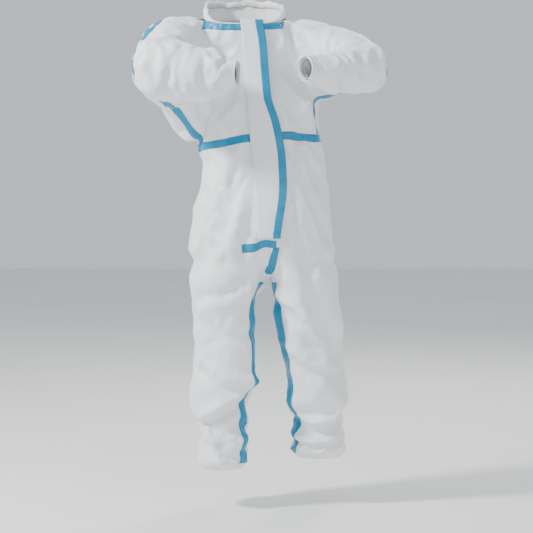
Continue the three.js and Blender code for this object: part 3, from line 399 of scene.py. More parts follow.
# %% [markdown]
# Cloth falls into folds where the wearer bends and where there is more of it than the body needs. The main
# ones are started one by one: each is a line on the front or the back, a ridge along it and a hollow beside
# it. The simulation then turns them into real folds and adds the small ones.

# %% Where the main folds start
# Each fold: its line as (x, z) points on the front, height of the ridge, half width.
FRONT_FOLDS = [
    ([(-132, -325), (-74, -370), (-69, -405)], 9, 13),
    ([(-128, -400), (-70, -470), (-27, -537)], 8, 14),
    ([(146, -208), (114, -277)], 8, 12),
    ([(131, -320), (124, -420), (128, -520)], 7, 12),
    ([(186, -315), (182, -410)], 6, 10),
    ([(212, -555), (177, -650)], 7, 12),
    ([(61, -650), (110, -690), (153, -767)], 10, 13),
    ([(79, -715), (130, -760), (178, -826)], 10, 14),
    ([(110, -860), (160, -900), (225, -905)], 7, 14),
    ([(100, -985), (140, -1050), (172, -1064), (225, -1047), (250, -998)], 13, 14),
    ([(118, -1100), (170, -1118), (240, -1105)], 8, 12),
    ([(-138, -892), (-69, -934), (0, -940)], 9, 14),
    ([(-136, -1040), (-90, -1010), (-40, -982), (0, -945)], 13, 14),
    ([(-124, -1051), (-105, -1110), (-82, -1175)], 8, 11),
    ([(-130, -760), (-60, -800), (10, -790)], 6, 16),
    ([(-20, -690), (-70, -720), (-120, -725)], 8, 13),
    ([(-110, -560), (-60, -600), (-25, -640)], 7, 14),
    ([(-120, -215), (-80, -262), (-60, -290)], 7, 12),
]
BACK_FOLDS = [
    ([(-110, -280), (0, -320), (120, -270)], 8, 16),
    ([(-100, -420), (20, -395), (150, -425)], 8, 14),
    ([(-110, -600), (-60, -640), (10, -662)], 9, 14),
    ([(180, -600), (130, -645), (70, -660)], 9, 14),
    ([(-140, -905), (-70, -880), (-10, -915)], 9, 13),
    ([(-140, -955), (-70, -935), (-10, -950)], 9, 13),
    ([(100, -890), (160, -865), (235, -890)], 9, 13),
    ([(105, -940), (165, -920), (240, -945)], 9, 13),
    ([(-120, -1060), (-70, -1085), (-20, -1060)], 8, 13),
    ([(120, -1060), (180, -1085), (245, -1060)], 8, 13),
]


SHARPNESS = 1.35  # 2 is a round ridge, 1 comes to a point
RIDGE_SHARE, HOLLOW_SHARE = 1.5, 1.1  # of a fold's stated height
CRUMPLE_HEIGHT = 4.5


def distance_to_line(points, line):
    """Distance from 2-D points to a polyline, and the side each lies on."""
    best = np.full(len(points), 1e9)
    side = np.zeros(len(points))
    for a, b in zip(line[:-1], line[1:]):
        a, b = np.array(a, float), np.array(b, float)
        along = b - a
        t = np.clip((points - a) @ along / (along @ along), 0, 1)
        offset = points - (a + t[:, None] * along)
        distance = np.linalg.norm(offset, axis=1)
        closer = distance < best
        best[closer] = distance[closer]
        side[closer] = np.sign(along[0] * offset[closer, 1] - along[1] * offset[closer, 0])
    return best, side


def fold_heights(points, normals, folds, facing):
    """How far each point is pushed out by a list of folds on the side that faces -Y (-1) or +Y (1)."""
    push = np.zeros(len(points))
    turned = np.clip(facing * normals[:, 1] * 2, 0, 1)
    flat = points[:, [0, 2]]
    for line, height, half in folds:
        distance, side = distance_to_line(flat, line)
        signed = distance * side
        ridge = np.exp(-np.abs((signed - 0.5 * half) / half) ** SHARPNESS)
        hollow = np.exp(-((signed + 1.1 * half) / half) ** 2)
        push += turned * height * (RIDGE_SHARE * ridge - HOLLOW_SHARE * hollow)
    return push


def sleeve_folds(points, normals):
    """Rings of bunched cloth along each sleeve, evenly spaced, their line wavering a little."""
    push = np.zeros(len(points))
    for arm in ARMS.values():
        line = [np.array(s[0], float) for s in arm["upper"][2:]] + [arm["elbow"], arm["wrist"]]
        best = np.full(len(points), 1e9)
        travelled = np.zeros(len(points))
        start = 0.0
        for a, b in zip(line[:-1], line[1:]):
            along = b - a
            length = np.linalg.norm(along)
            t = np.clip((points - a) @ along / length**2, 0, 1)
            distance = np.linalg.norm(points - (a + t[:, None] * along), axis=1)
            closer = distance < best
            best[closer] = distance[closer]
            travelled[closer] = start + t[closer] * length
            start += length
        on_sleeve = np.clip((130 - best) / 30, 0, 1) * np.clip((start - 24 - travelled) / 40, 0, 1)
        on_sleeve *= np.clip(travelled / 60, 0, 1)
        swirl = np.array([noise.noise(Vector(p) * 0.013) for p in points]) * 62
        uneven = np.array([noise.noise(Vector(p) * 0.02 + Vector((7, 3, 1))) for p in points])
        wave = np.sin((travelled + swirl) / 44 * 2 * math.pi)
        push += on_sleeve * 5.5 * (np.abs(wave + 1) ** 1.4 / 2 - 0.8) * np.clip(0.7 + 1.6 * uneven, 0.1, 1.6)
    return push


normals = vertex_normals(garment.data)
push = fold_heights(rest, normals, FRONT_FOLDS, -1) + fold_heights(rest, normals, BACK_FOLDS, 1)
push += sleeve_folds(rest, normals)
crumple = np.array([noise.fractal(Vector(p) * 0.018, 1.0, 2.0, 3) for p in rest])
push += CRUMPLE_HEIGHT * crumple

# %% [markdown]
# Some places are held. The seam at the neck, the gathered ends, and the strip beside the zip, which is
# doubled and lies flat. A weight of one holds a point still and a smaller weight lets it give.

# %% Held places
def near_zip(points):
    """One along the zip's strip, fading to nothing sideways."""
    z = np.clip(points[:, 2], ZIP_END[2] - 60, 10)
    line_x = ZIP_TOP[0] + (ZIP_END[0] - ZIP_TOP[0]) * (z - ZIP_TOP[2]) / (ZIP_END[2] - ZIP_TOP[2])
    middle = line_x + 8
    strip = np.clip((62 - np.abs(points[:, 0] - middle)) / 22, 0, 1)
    tall = np.clip((points[:, 2] - (ZIP_END[2] - 75)) / 25, 0, 1)
    return strip * tall * (points[:, 1] < -30) * (points[:, 1] > -165)


def hold_weights(points):
    held = np.zeros(len(points))
    above = (points - NECK_MIDDLE) @ NECK_UP
    radial = np.linalg.norm((points - NECK_MIDDLE)[:, :2] / np.array((106.0, 84.0)), axis=1)
    held = np.maximum(held, np.clip((above + 22) / 14, 0, 1) * np.clip((1.3 - radial) / 0.15, 0, 1))
    for leg in LEGS.values():
        mine = (points[:, 0] - 47) * leg["side"] > 0
        held = np.maximum(held, mine * np.clip((leg["hem"] + 16 - points[:, 2]) / 10, 0, 1))
    for arm in ARMS.values():
        beyond = (points - arm["wrist"]) @ arm["fore_way"]
        close = np.linalg.norm(points - arm["wrist"], axis=1) < 70
        held = np.maximum(held, close * np.clip((beyond + 22) / 12, 0, 1))
    return held


ends_held = hold_weights(rest)
zip_held = near_zip(rest)
push *= (1 - ends_held) * (1 - zip_held)
set_coordinates(garment.data, rest + normals * push[:, None])
print("folds push from", round(push.min(), 1), "to", round(push.max(), 1), "mm")

# %% [markdown]
# The drape. The inner form is the same body a centimetre and a half smaller. The shell is given about five
# per cent more cloth than it has room for, gravity pulls it down, and it settles on the form in folds. What
# a real stiff laminate does, sharp ridges with flat facets between them, comes from the resistance to
# bending.

# %% Draping the shell over the form
SURPLUS = 0.055
FRAMES = 26
MOTION_CAP = 20.0
FORM_INSET, FORM_VOXEL = 15, 16


def drape(obj, form, held, surplus, frames, bending, gravity, pressure=0.0):
    group = obj.vertex_groups.new(name="held")
    for level in np.unique(np.round(held, 2)):
        if level > 0:
            group.add(np.nonzero(np.round(held, 2) == level)[0].tolist(), float(level), "REPLACE")
    if form:
        form.modifiers.new("solid", "COLLISION")
        form.collision.thickness_outer = 0.002
        form.collision.cloth_friction = 12
    cloth = obj.modifiers.new("cloth", "CLOTH")
    cloth.settings.quality = 5
    cloth.settings.mass = 0.12
    cloth.settings.tension_stiffness = 18
    cloth.settings.compression_stiffness = 18
    cloth.settings.shear_stiffness = 8
    cloth.settings.bending_stiffness = bending
    cloth.settings.air_damping = 3
    cloth.settings.shrink_min = -surplus
    cloth.settings.vertex_group_mass = "held"
    if pressure:
        cloth.settings.use_pressure = True
        cloth.settings.uniform_pressure_force = pressure
    cloth.settings.effector_weights.gravity = gravity
    cloth.collision_settings.distance_min = 0.003
    cloth.point_cache.frame_start = 1
    cloth.point_cache.frame_end = frames
    for at in range(1, frames + 1):
        bpy.context.scene.frame_set(at)
    draped = coordinates(evaluated_copy(obj))
    obj.modifiers.clear()
    obj.vertex_groups.clear()
    bpy.context.scene.frame_set(1)
    return draped


start = coordinates(garment.data)
wearer_form = body_form("wearer_form", -FORM_INSET, END_REACH, FORM_VOXEL)
draped = drape(garment, wearer_form, np.maximum(ends_held, 0.9 * zip_held), SURPLUS, FRAMES,
               bending=4.0, gravity=0.6)
bpy.data.objects.remove(wearer_form)
moved = draped - start
distance = np.linalg.norm(moved, axis=1)
cap = MOTION_CAP * np.tanh(distance / MOTION_CAP) / np.maximum(distance, 1e-6)
draped = start + moved * cap[:, None]
out_at_zip = np.einsum("ij,ij->i", draped - rest, normals)
draped -= normals * (zip_held * np.clip(out_at_zip - 2.0, 0, None))[:, None]
print("draped: moved", round(distance.mean(), 1), "mm on average,", round(distance.max(), 1), "at most")

# %% [markdown]
# One subdivision rounds the net. It is made twice, once on the shell at rest and once on the draped one, so
# that each fine point knows where it was before it moved. The seams are drawn on the rest shape and cut on
# the draped.

# %% A finer net
def subdivided(points, name):
    source = garment.data.copy()
    source.name = name
    set_coordinates(source, points)
    holder = linked(name, source)
    finer = holder.modifiers.new("finer", "SUBSURF")
    finer.levels = finer.render_levels = 1
    finer.boundary_smooth = "PRESERVE_CORNERS"
    mesh = evaluated_copy(holder)
    bpy.data.objects.remove(holder)
    return mesh


CREASE_HEIGHT = 4.0
REST = coordinates(subdivided(rest, "rest_net"))
shell = subdivided(draped, "shell_net")
SHELL = coordinates(shell)
# Small sharp creases, where the stiff laminate has buckled: a ridged noise, stretched a little downwards.
crease_at = REST * (0.014, 0.014, 0.009)
creases = np.array([noise.ridged_multi_fractal(Vector(p), 1.0, 2.1, 3, 1.0, 2.0) for p in crease_at]) - 1.0
calm = (1 - hold_weights(REST)) * (1 - near_zip(REST))
NORMALS = vertex_normals(shell)
SHELL = SHELL + NORMALS * (CREASE_HEIGHT * np.clip(creases, -1, 1.2) * calm)[:, None]
set_coordinates(shell, SHELL)
NORMALS = vertex_normals(shell)
FACES = [tuple(p.vertices) for p in shell.polygons]
print("fine net:", len(SHELL), "points,", len(FACES), "faces")

# %% [markdown]
# The finishes. The white cloth is a bonded nonwoven with a film on its face: a faint grid of bond points,
# fine random creases from being folded in its packet, and a soft shine. All patterns are read from the
# object's own coordinates in metres, so a scale of 100 means a feature of about a centimetre.

# %% Building a finish from nodes
def new_finish(name):
    material = bpy.data.materials.new(name)
    material.use_nodes = True
    tree = material.node_tree
    shader = tree.nodes["Principled BSDF"]
    place = tree.nodes.new("ShaderNodeTexCoord").outputs["Object"]
    return material, tree, shader, place


def noise_node(tree, place, scale, detail=3.0, rough=0.5, kind="FBM"):
    node = tree.nodes.new("ShaderNodeTexNoise")
    node.noise_type = kind
    tree.links.new(place, node.inputs["Vector"])
    node.inputs["Scale"].default_value = scale
    node.inputs["Detail"].default_value = detail
    node.inputs["Roughness"].default_value = rough
    return node.outputs["Fac"]


def ramp(tree, value, low, high, dark, light):
    node = tree.nodes.new("ShaderNodeValToRGB")
    tree.links.new(value, node.inputs["Fac"])
    node.color_ramp.elements[0].position = low
    node.color_ramp.elements[0].color = (*dark, 1)
    node.color_ramp.elements[1].position = high
    node.color_ramp.elements[1].color = (*light, 1)
    return node.outputs["Color"]


def level(tree, value, low, high):
    node = tree.nodes.new("ShaderNodeMapRange")
    tree.links.new(value, node.inputs["Value"])
    node.inputs["To Min"].default_value = low
    node.inputs["To Max"].default_value = high
    return node.outputs["Result"]


def relief(tree, shader, steps):
    """Stacked bumps: (height, strength, depth in metres), the coarsest first."""
    below = None
    for height, strength, depth in steps:
        bump = tree.nodes.new("ShaderNodeBump")
        bump.inputs["Strength"].default_value = strength
        bump.inputs["Distance"].default_value = depth
        tree.links.new(height, bump.inputs["Height"])
        if below:
            tree.links.new(below, bump.inputs["Normal"])
        below = bump.outputs["Normal"]
    tree.links.new(below, shader.inputs["Normal"])


def stripes(tree, place, scale, direction="X", kind="SIN", distortion=0.0):
    node = tree.nodes.new("ShaderNodeTexWave")
    node.wave_type = "BANDS"
    node.bands_direction = direction
    node.wave_profile = kind
    tree.links.new(place, node.inputs["Vector"])
    node.inputs["Scale"].default_value = scale
    node.inputs["Distortion"].default_value = distortion
    node.inputs["Detail"].default_value = 1
    return node.outputs["Fac"]


def bond_points(tree, place, scale):
    node = tree.nodes.new("ShaderNodeTexVoronoi")
    tree.links.new(place, node.inputs["Vector"])
    node.inputs["Scale"].default_value = scale
    node.inputs["Randomness"].default_value = 0.35
    return node.outputs["Distance"]


# %% White laminate
def white_laminate():
    material, tree, shader, place = new_finish("white_laminate")
    mottle = noise_node(tree, place, 9, 4, 0.55)
    tree.links.new(ramp(tree, mottle, 0.3, 0.7, (0.78, 0.80, 0.835), (0.86, 0.87, 0.885)),
                   shader.inputs["Base Color"])
    tree.links.new(level(tree, noise_node(tree, place, 60, 3), 0.42, 0.62), shader.inputs["Roughness"])
    packet = noise_node(tree, place, 26, 5, 0.5, "RIDGED_MULTIFRACTAL")
    crumple = noise_node(tree, place, 95, 4, 0.5)
    relief(tree, shader, [(packet, 0.35, 0.0022), (crumple, 0.3, 0.0011),
                          (bond_points(tree, place, 620), 0.22, 0.00022)])
    shader.inputs["Sheen Weight"].default_value = 0.12
    shader.inputs["Sheen Roughness"].default_value = 0.4
    shader.inputs["Specular IOR Level"].default_value = 0.4
    return material


WHITE = white_laminate()

# %% [markdown]
# The seam tape is a coloured film melted onto the seam. It is smoother and shinier than the cloth, a little
# uneven in depth of colour where the heat has pressed it thin, and it shows the cloth's grain through it.

# %% Blue seam tape
def blue_tape():
    material, tree, shader, place = new_finish("blue_seam_tape")
    depth = noise_node(tree, place, 38, 4, 0.6)
    tree.links.new(ramp(tree, depth, 0.25, 0.75, (0.0, 0.19, 0.36), (0.0, 0.27, 0.47)),
                   shader.inputs["Base Color"])
    tree.links.new(level(tree, noise_node(tree, place, 150, 3), 0.26, 0.46), shader.inputs["Roughness"])
    relief(tree, shader, [(noise_node(tree, place, 70, 4, 0.55), 0.3, 0.0009),
                          (bond_points(tree, place, 620), 0.15, 0.00015)])
    shader.inputs["Specular IOR Level"].default_value = 0.3
    return material


BLUE = blue_tape()

# %% Elastic, zip cloth, nylon and adhesive
def ribbed_elastic():
    material, tree, shader, place = new_finish("ribbed_elastic")
    ribs = stripes(tree, place, 260, "Z", "SIN", 0.4)
    threads = noise_node(tree, place, 900, 2)
    tree.links.new(ramp(tree, ribs, 0.1, 0.9, (0.62, 0.62, 0.60), (0.82, 0.82, 0.80)),
                   shader.inputs["Base Color"])
    relief(tree, shader, [(ribs, 0.5, 0.0006), (threads, 0.3, 0.0002)])
    shader.inputs["Roughness"].default_value = 0.82
    return material


def woven_zip_cloth():
    material, tree, shader, place = new_finish("woven_zip_cloth")
    across = stripes(tree, place, 420, "DIAGONAL", "SIN", 0.6)
    along = stripes(tree, place, 300, "Z", "SIN", 0.3)
    tree.links.new(ramp(tree, across, 0.1, 0.9, (0.66, 0.67, 0.69), (0.84, 0.85, 0.86)),
                   shader.inputs["Base Color"])
    relief(tree, shader, [(along, 0.35, 0.0004), (across, 0.35, 0.0003)])
    shader.inputs["Roughness"].default_value = 0.8
    return material


def moulded_nylon():
    material, tree, shader, place = new_finish("moulded_nylon")
    cloud = noise_node(tree, place, 220, 4, 0.6)
    tree.links.new(ramp(tree, cloud, 0.3, 0.7, (0.70, 0.71, 0.73), (0.83, 0.84, 0.85)),
                   shader.inputs["Base Color"])
    tree.links.new(level(tree, cloud, 0.25, 0.42), shader.inputs["Roughness"])
    relief(tree, shader, [(noise_node(tree, place, 1400, 2), 0.12, 0.0001)])
    return material


def release_strip():
    material, tree, shader, place = new_finish("adhesive_release_strip")
    cloud = noise_node(tree, place, 90, 3, 0.5)
    tree.links.new(ramp(tree, cloud, 0.3, 0.7, (0.60, 0.68, 0.74), (0.74, 0.80, 0.84)),
                   shader.inputs["Base Color"])
    tree.links.new(level(tree, cloud, 0.15, 0.32), shader.inputs["Roughness"])
    relief(tree, shader, [(noise_node(tree, place, 160, 3), 0.25, 0.0005)])
    return material


ELASTIC, ZIP_CLOTH, NYLON, STICKY = ribbed_elastic(), woven_zip_cloth(), moulded_nylon(), release_strip()
print("finishes:", [m.name for m in (WHITE, BLUE, ELASTIC, ZIP_CLOTH, NYLON, STICKY)])

# %% [markdown]
# The seams, as numbers at every point of the rest shape. Each is a signed distance: zero on the seam,
# positive on one side of it. A panel is the faces where its distances have the right signs, and a tape is
# the strip where a distance is under half its width.

# %% Where the seams run
X, Y, Z = REST.T
HALF_TAPE = 10.0
CROTCH_X = 53.0
# The seam between front and back leans further back towards the top: how far, in mm, at each height.
SEAM_HEIGHTS = (-400.0, -132.4, -92.7, 60.0)
SEAM_LEANS = (-58.9, 0.0, 45.7, 76.2)
CHEST_POINT, CHEST_UP = np.array((27, 0, -306.5)), unit((-0.075, 0, 1))
above_neck = (REST - NECK_MIDDLE) @ NECK_UP
above_chest = (REST - CHEST_POINT) @ CHEST_UP
zip_x = ZIP_TOP[0] + ZIP_DOWN[0] * (Z - ZIP_TOP[2]) / ZIP_DOWN[2]
below_zip_x = np.interp(-Z, (-ZIP_END[2], -CROTCH_Z), (ZIP_END[0], CROTCH_X))
centre_x = np.where(Z > ZIP_END[2], zip_x, below_zip_x)
right_to_left = X - centre_x
FLAP_ROOT_SIDE = 27.0
root_x = zip_x - FLAP_ROOT_SIDE
neck_middle_y = torso_middle_y(10)


def inside_outline(points, outline):
    inside = np.zeros(len(points), bool)
    for (ax, ay), (bx, by) in zip(outline, outline[1:] + outline[:1]):
        crosses = (ay > points[:, 1]) != (by > points[:, 1])
        with np.errstate(divide="ignore", invalid="ignore"):
            at = (bx - ax) * (points[:, 1] - ay) / (by - ay) + ax
        inside ^= crosses & (points[:, 0] < at)
    return inside


def front_of_sides(points):
    """Distance in plan from the line where front and back panels meet, positive in front of it."""
    lean = np.interp(points[:, 2], SEAM_HEIGHTS, SEAM_LEANS)
    plan = np.column_stack((points[:, 0], points[:, 1] - lean))
    lines = []
    for arm in ARMS.values():
        tip = arm["elbow"] + arm["outward"] * 900
        lines.append([tuple(s[0][:2]) for s in arm["upper"][1:]] + [tuple(arm["elbow"][:2]), tuple(tip[:2])])
    line = lines[0][::-1] + lines[1]
    outline = line + [(1800, -1800), (-1800, -1800)]
    distance, _ = distance_to_line(plan, line)
    return np.where(inside_outline(plan, outline), distance, -distance)


in_front = front_of_sides(REST)


def past_elbow(arm):
    return (REST - arm["elbow"]) @ arm["mitre"]


def near_forearm(arm):
    reach = 100 * arm["fullness"] + 6
    along = arm["wrist"] - arm["elbow"]
    t = np.clip((REST - arm["elbow"]) @ along / (along @ along), -0.3, 1.1)
    return reach - np.linalg.norm(REST - (arm["elbow"] + t[:, None] * along), axis=1)


FACE = np.array(FACES)
on_face = lambda values: values[FACE].mean(1)
forearm_faces = {name: (on_face(past_elbow(arm)) > 0) & (on_face(near_forearm(arm)) > 0)
                 for name, arm in ARMS.items()}
print("forearm faces:", {k: int(v.sum()) for k, v in forearm_faces.items()})

# %% [markdown]
# Cutting out the panels. A panel keeps its own faces of the draped shell and gets a thin wall on its inner
# side, as real cloth has. Its edges are a little stepped. A tape or the flap covers most of them, but not
# all of the edge at the neck.

# %% Cutting out the panels
CLOTH_WALL = 0.7


def finish_piece(obj, material, body, slot, *nodes):
    obj.data.materials.clear()
    obj.data.materials.append(material)
    obj.data.polygons.foreach_set("use_smooth", [True] * len(obj.data.polygons))
    if body:
        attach(obj, body)
    if nodes:
        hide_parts(*nodes)
    return obj


def thicken(obj, wall, side=-1):
    thick = obj.modifiers.new("wall", "SOLIDIFY")
    thick.thickness = wall * MM
    thick.offset = side
    thick.use_even_offset = False
    return settle(obj)


def from_faces(name, points, faces):
    """A plain mesh of some faces of a net, with only the points they use."""
    used, inverse = np.unique(faces, return_inverse=True)
    mesh = bpy.data.meshes.new(name)
    mesh.from_pydata((points[used] * MM).tolist(), [], inverse.reshape(faces.shape).tolist())
    mesh.update()
    return linked(name, mesh)


def panel(name, mask):
    obj = thicken(from_faces(name, SHELL, FACE[mask]), CLOTH_WALL)
    print(f"{name}: {int(mask.sum())} faces")
    return obj


ZIP_SLOT_HALF = 15.5
f_chest, f_side, f_front = on_face(above_chest), on_face(right_to_left), on_face(in_front)
zip_slot = (np.abs(on_face(X - zip_x)) < ZIP_SLOT_HALF) & (on_face(Y) < 0) & (on_face(Z) > ZIP_END[2])
body_faces = ~(forearm_faces["right"] | forearm_faces["left"]) & ~zip_slot
upper_faces = body_faces & (f_chest > 0)
lower_faces = body_faces & (f_chest <= 0)
for name, mask in {
    "bodice_front_right": upper_faces & (f_front > 0) & (f_side < 0),
    "bodice_front_left": upper_faces & (f_front > 0) & (f_side >= 0),
    "bodice_back": upper_faces & (f_front <= 0),
    "trousers_right": lower_faces & (f_side < 0),
    "trousers_left": lower_faces & (f_side >= 0),
}.items():
    finish_piece(panel("cloth_" + name, mask), WHITE, "suit", "white_fabric", name)

# %% [markdown]
# Each forearm sleeve turns at its elbow. The first few centimetres past the elbow bend with the joint, so
# the sleeve stays whole when the arm straightens.

# %% Forearm sleeves
ELBOW_BEND = {"right": (3, 112), "left": (3, 100)}


def bend_at_elbow(obj, name):
    arm = ARMS[name]
    first, last = ELBOW_BEND[name]
    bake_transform(obj, "suit", name + "_forearm", start=tuple((arm["elbow"] + arm["mitre"] * first) * MM),
             end=tuple((arm["elbow"] + arm["mitre"] * last) * MM))


for name in ARMS:
    sleeve = panel("cloth_forearm_" + name, forearm_faces[name])
    finish_piece(sleeve, WHITE, None, "white_fabric", "forearm_" + name)
    bend_at_elbow(sleeve, name)

# %% [markdown]
# A tape has straight clean edges, so it is cut exactly. Every edge of the net that crosses the tape's
# border is split at the border, the face between is divided there, and what lies outside is dropped. The
# strip is then lifted off the cloth by half a millimetre and given its own thickness.

# %% Cutting a strip out of a net
def split_at_zero(bm, fields, normal, k):
    fresh = []
    for edge in list(bm.edges):
        a, b = edge.verts
        fa, fb = a[fields[k]], b[fields[k]]
        if fa * fb >= 0:
            continue
        t = fa / (fa - fb)
        values = [a[f] + (b[f] - a[f]) * t for f in fields]
        turned = a[normal].lerp(b[normal], t)
        _, vert = bmesh.utils.edge_split(edge, a, t)
        for f, value in zip(fields, values):
            vert[f] = value
        vert[fields[k]] = 0.0
        vert[normal] = turned
        fresh.append(vert)
    bmesh.ops.connect_verts(bm, verts=fresh)
    outside = [f for f in bm.faces if sum(v[fields[k]] for v in f.verts) < 0]
    bmesh.ops.delete(bm, geom=outside, context="FACES")


def strip(name, net, borders, lift=0.5, wall=0.4):
    """The part of a net where every border value is positive. net is (points, normals, faces)."""
    points, normals_of, faces = net
    mask = np.ones(len(faces), bool)
    for value in borders:
        mask &= value[faces].max(1) > 0
    used, inverse = np.unique(faces[mask], return_inverse=True)
    bm = bmesh.new()
    for k in range(len(borders)):
        bm.verts.layers.float.new(f"border{k}")
    bm.verts.layers.float_vector.new("turned")
    fields = [bm.verts.layers.float[f"border{k}"] for k in range(len(borders))]
    normal = bm.verts.layers.float_vector["turned"]
    verts = []
    for i in used:
        vert = bm.verts.new(points[i] * MM)
        vert[normal] = Vector(normals_of[i])
        for f, value in zip(fields, borders):
            vert[f] = float(value[i])
        verts.append(vert)
    for face in inverse.reshape(-1, faces.shape[1]):
        bm.faces.new([verts[i] for i in face])
    for k in range(len(borders)):
        split_at_zero(bm, fields, normal, k)
    for vert in bm.verts:
        vert.co += vert[normal].normalized() * lift * MM
    bmesh.ops.dissolve_degenerate(bm, dist=0.00005, edges=bm.edges)
    mesh = bpy.data.meshes.new(name)
    bm.to_mesh(mesh)
    bm.free()
    for label in [a.name for a in mesh.attributes if a.name.startswith(("border", "turned"))]:
        mesh.attributes.remove(mesh.attributes[label])
    obj = linked(name, mesh)
    if not len(mesh.polygons):
        raise ValueError(f"{name} has no faces")
    print(f"{name}: {len(mesh.polygons)} faces")
    return thicken(obj, wall, 1 if lift > 0 else -1)


BODY_NET = (SHELL, NORMALS, FACE)


def body_tape(name, *borders):
    return finish_piece(strip("film_" + name, BODY_NET, borders), BLUE, "suit", "seam_tape", name)


# %% Neck and chest tapes
NECK_TAPE = 16.0
NECK_SIDE_Y = neck_middle_y + 28
in_neck_band = (-0.6 - above_neck, above_neck + NECK_TAPE)
body_tape("neck_tape_front_right", *in_neck_band, X + 122, (root_x - 2) - X, NECK_SIDE_Y - Y)
body_tape("neck_tape_front_left", *in_neck_band, X - 25, 90 - X, NECK_SIDE_Y - Y)
body_tape("neck_tape_back", *in_neck_band, X + 122, 90 - X, Y - NECK_SIDE_Y)
in_chest_band = HALF_TAPE - np.abs(above_chest)
body_tape("chest_tape_front_right", in_chest_band, in_front, (root_x - 2) - X)
body_tape("chest_tape_front_left", in_chest_band, in_front, X - zip_x - 18)
body_tape("chest_tape_back", in_chest_band, -in_front)

# %% Shoulder, underarm and forearm tapes
off_neck = np.maximum(-NECK_TAPE - 0.5 - above_neck, np.abs(X - NECK_MIDDLE[0]) - 106.5)
SLEEVE_MIDDLE_Z = -0.17 * TORSO
for name, arm in ARMS.items():
    beside = (HALF_TAPE - np.abs(in_front), -past_elbow(arm), above_chest - HALF_TAPE - 0.5,
              arm["side"] * right_to_left, off_neck)
    body_tape("shoulder_tape_" + name, *beside, Z - SLEEVE_MIDDLE_Z)
    body_tape("underarm_tape_" + name, *beside, SLEEVE_MIDDLE_Z - Z)
    share = (REST - arm["elbow"]) @ arm["fore_way"] / arm["fore_length"]
    seam_z = arm["elbow"][2] + share * (arm["wrist"] - arm["elbow"])[2] - CUFF_DROOP * np.sin(
        math.pi * np.clip(share, 0, 1))
    inwards = unit(np.cross((0, 0, -arm["side"]), arm["fore_way"]))
    tape = strip("film_forearm_tape_" + name, BODY_NET, (
        HALF_TAPE - np.abs(Z - seam_z), past_elbow(arm), near_forearm(arm),
        (REST - arm["elbow"]) @ inwards - 4, 0.93 - share))
    finish_piece(tape, BLUE, None, "seam_tape", "forearm_tape_" + name)
    bend_at_elbow(tape, name)

# %% Flap end, crotch and inseam tapes
FLAP_END = [(-22, -588), (20, -589), (40, -583), (68, -585)]
FRONT_SEAM = [(69, -597), (57, -629), (49, -652)]
flat = REST[:, [0, 2]]
from_flap_end, _ = distance_to_line(flat, FLAP_END)
from_front_seam, _ = distance_to_line(flat, FRONT_SEAM)
body_tape("flap_end_tape", HALF_TAPE - from_flap_end, X + 23, 69 - X, -40 - Y)
body_tape("crotch_tape_front", 9 - from_front_seam, from_flap_end - 10.4, -10 - Y)
body_tape("crotch_tape_back", HALF_TAPE - np.abs(right_to_left), Y - 20, -10.5 - above_chest, Z + 645)
for name, leg in LEGS.items():
    table = np.array([between(leg["rows"], z) for z in np.linspace(CROTCH_Z, leg["hem"], 60)])
    at_z = np.linspace(CROTCH_Z, leg["hem"], 60)
    leg_x, leg_y, leg_half = (np.interp(-Z, -at_z, table[:, k]) for k in (0, 1, 2))
    seam_x = leg_x - leg["side"] * 0.86 * leg_half
    body_tape("inseam_tape_" + name, 8 - np.abs(X - seam_x), leg_y - Y, CROTCH_Z - 14 - Z,
              Z - leg["hem"] - 16, leg["side"] * (X - CROTCH_X))

# %% [markdown]
# The storm flap is a long strip of the same cloth, sewn on along one edge and stuck down along the other.
# It hides the zip. It is built as a grid that follows the belly a few millimetres off, with a slight wave
# along its free edge, a soft crown over the zip, and the blue film along the edge.

# %% Storm flap
FLAP_ROWS = [(-1.3, 56), (-56, 61), (-205, 62), (-265, 77), (-344, 86), (-424, 84), (-473, 77), (-549, 60),
             (-570.6, 56)]
FLAP_LIFT = 7.4


def flap_point(u, z, lift):
    """u runs from 0 at the sewn edge to 1 at the free edge."""
    width = between(FLAP_ROWS, z)[0]
    x = zip_at(z)[0] - FLAP_ROOT_SIDE + u * width
    crown = math.sin(math.pi * min(1, max(0, u))) ** 0.7
    ripple = (1.6 * noise.noise(Vector((u * 1.6, z * 0.021, 3.7)))
              + 0.9 * noise.noise(Vector((u * 3, z * 0.07, 9))))
    edge = 1.1 * u**3 * math.sin(z * 0.062 + 2 * noise.noise(Vector((z * 0.01, 1, 1))))
    out = lift + 0.6 + 1.2 * crown + ripple * (0.35 + 0.65 * u) + edge
    return np.array((x, torso_front_y(x, z, 0) - out, z))


def grid_object(name, rows):
    """A sheet through rows of points."""
    points = np.array([p for row in rows for p in row])
    wide = len(rows[0])
    faces = [(r * wide + c, r * wide + c + 1, (r + 1) * wide + c + 1, (r + 1) * wide + c)
             for r in range(len(rows) - 1) for c in range(wide - 1)]
    mesh = bpy.data.meshes.new(name)
    mesh.from_pydata((points * MM).tolist(), [], faces)
    mesh.update()
    return linked(name, mesh)


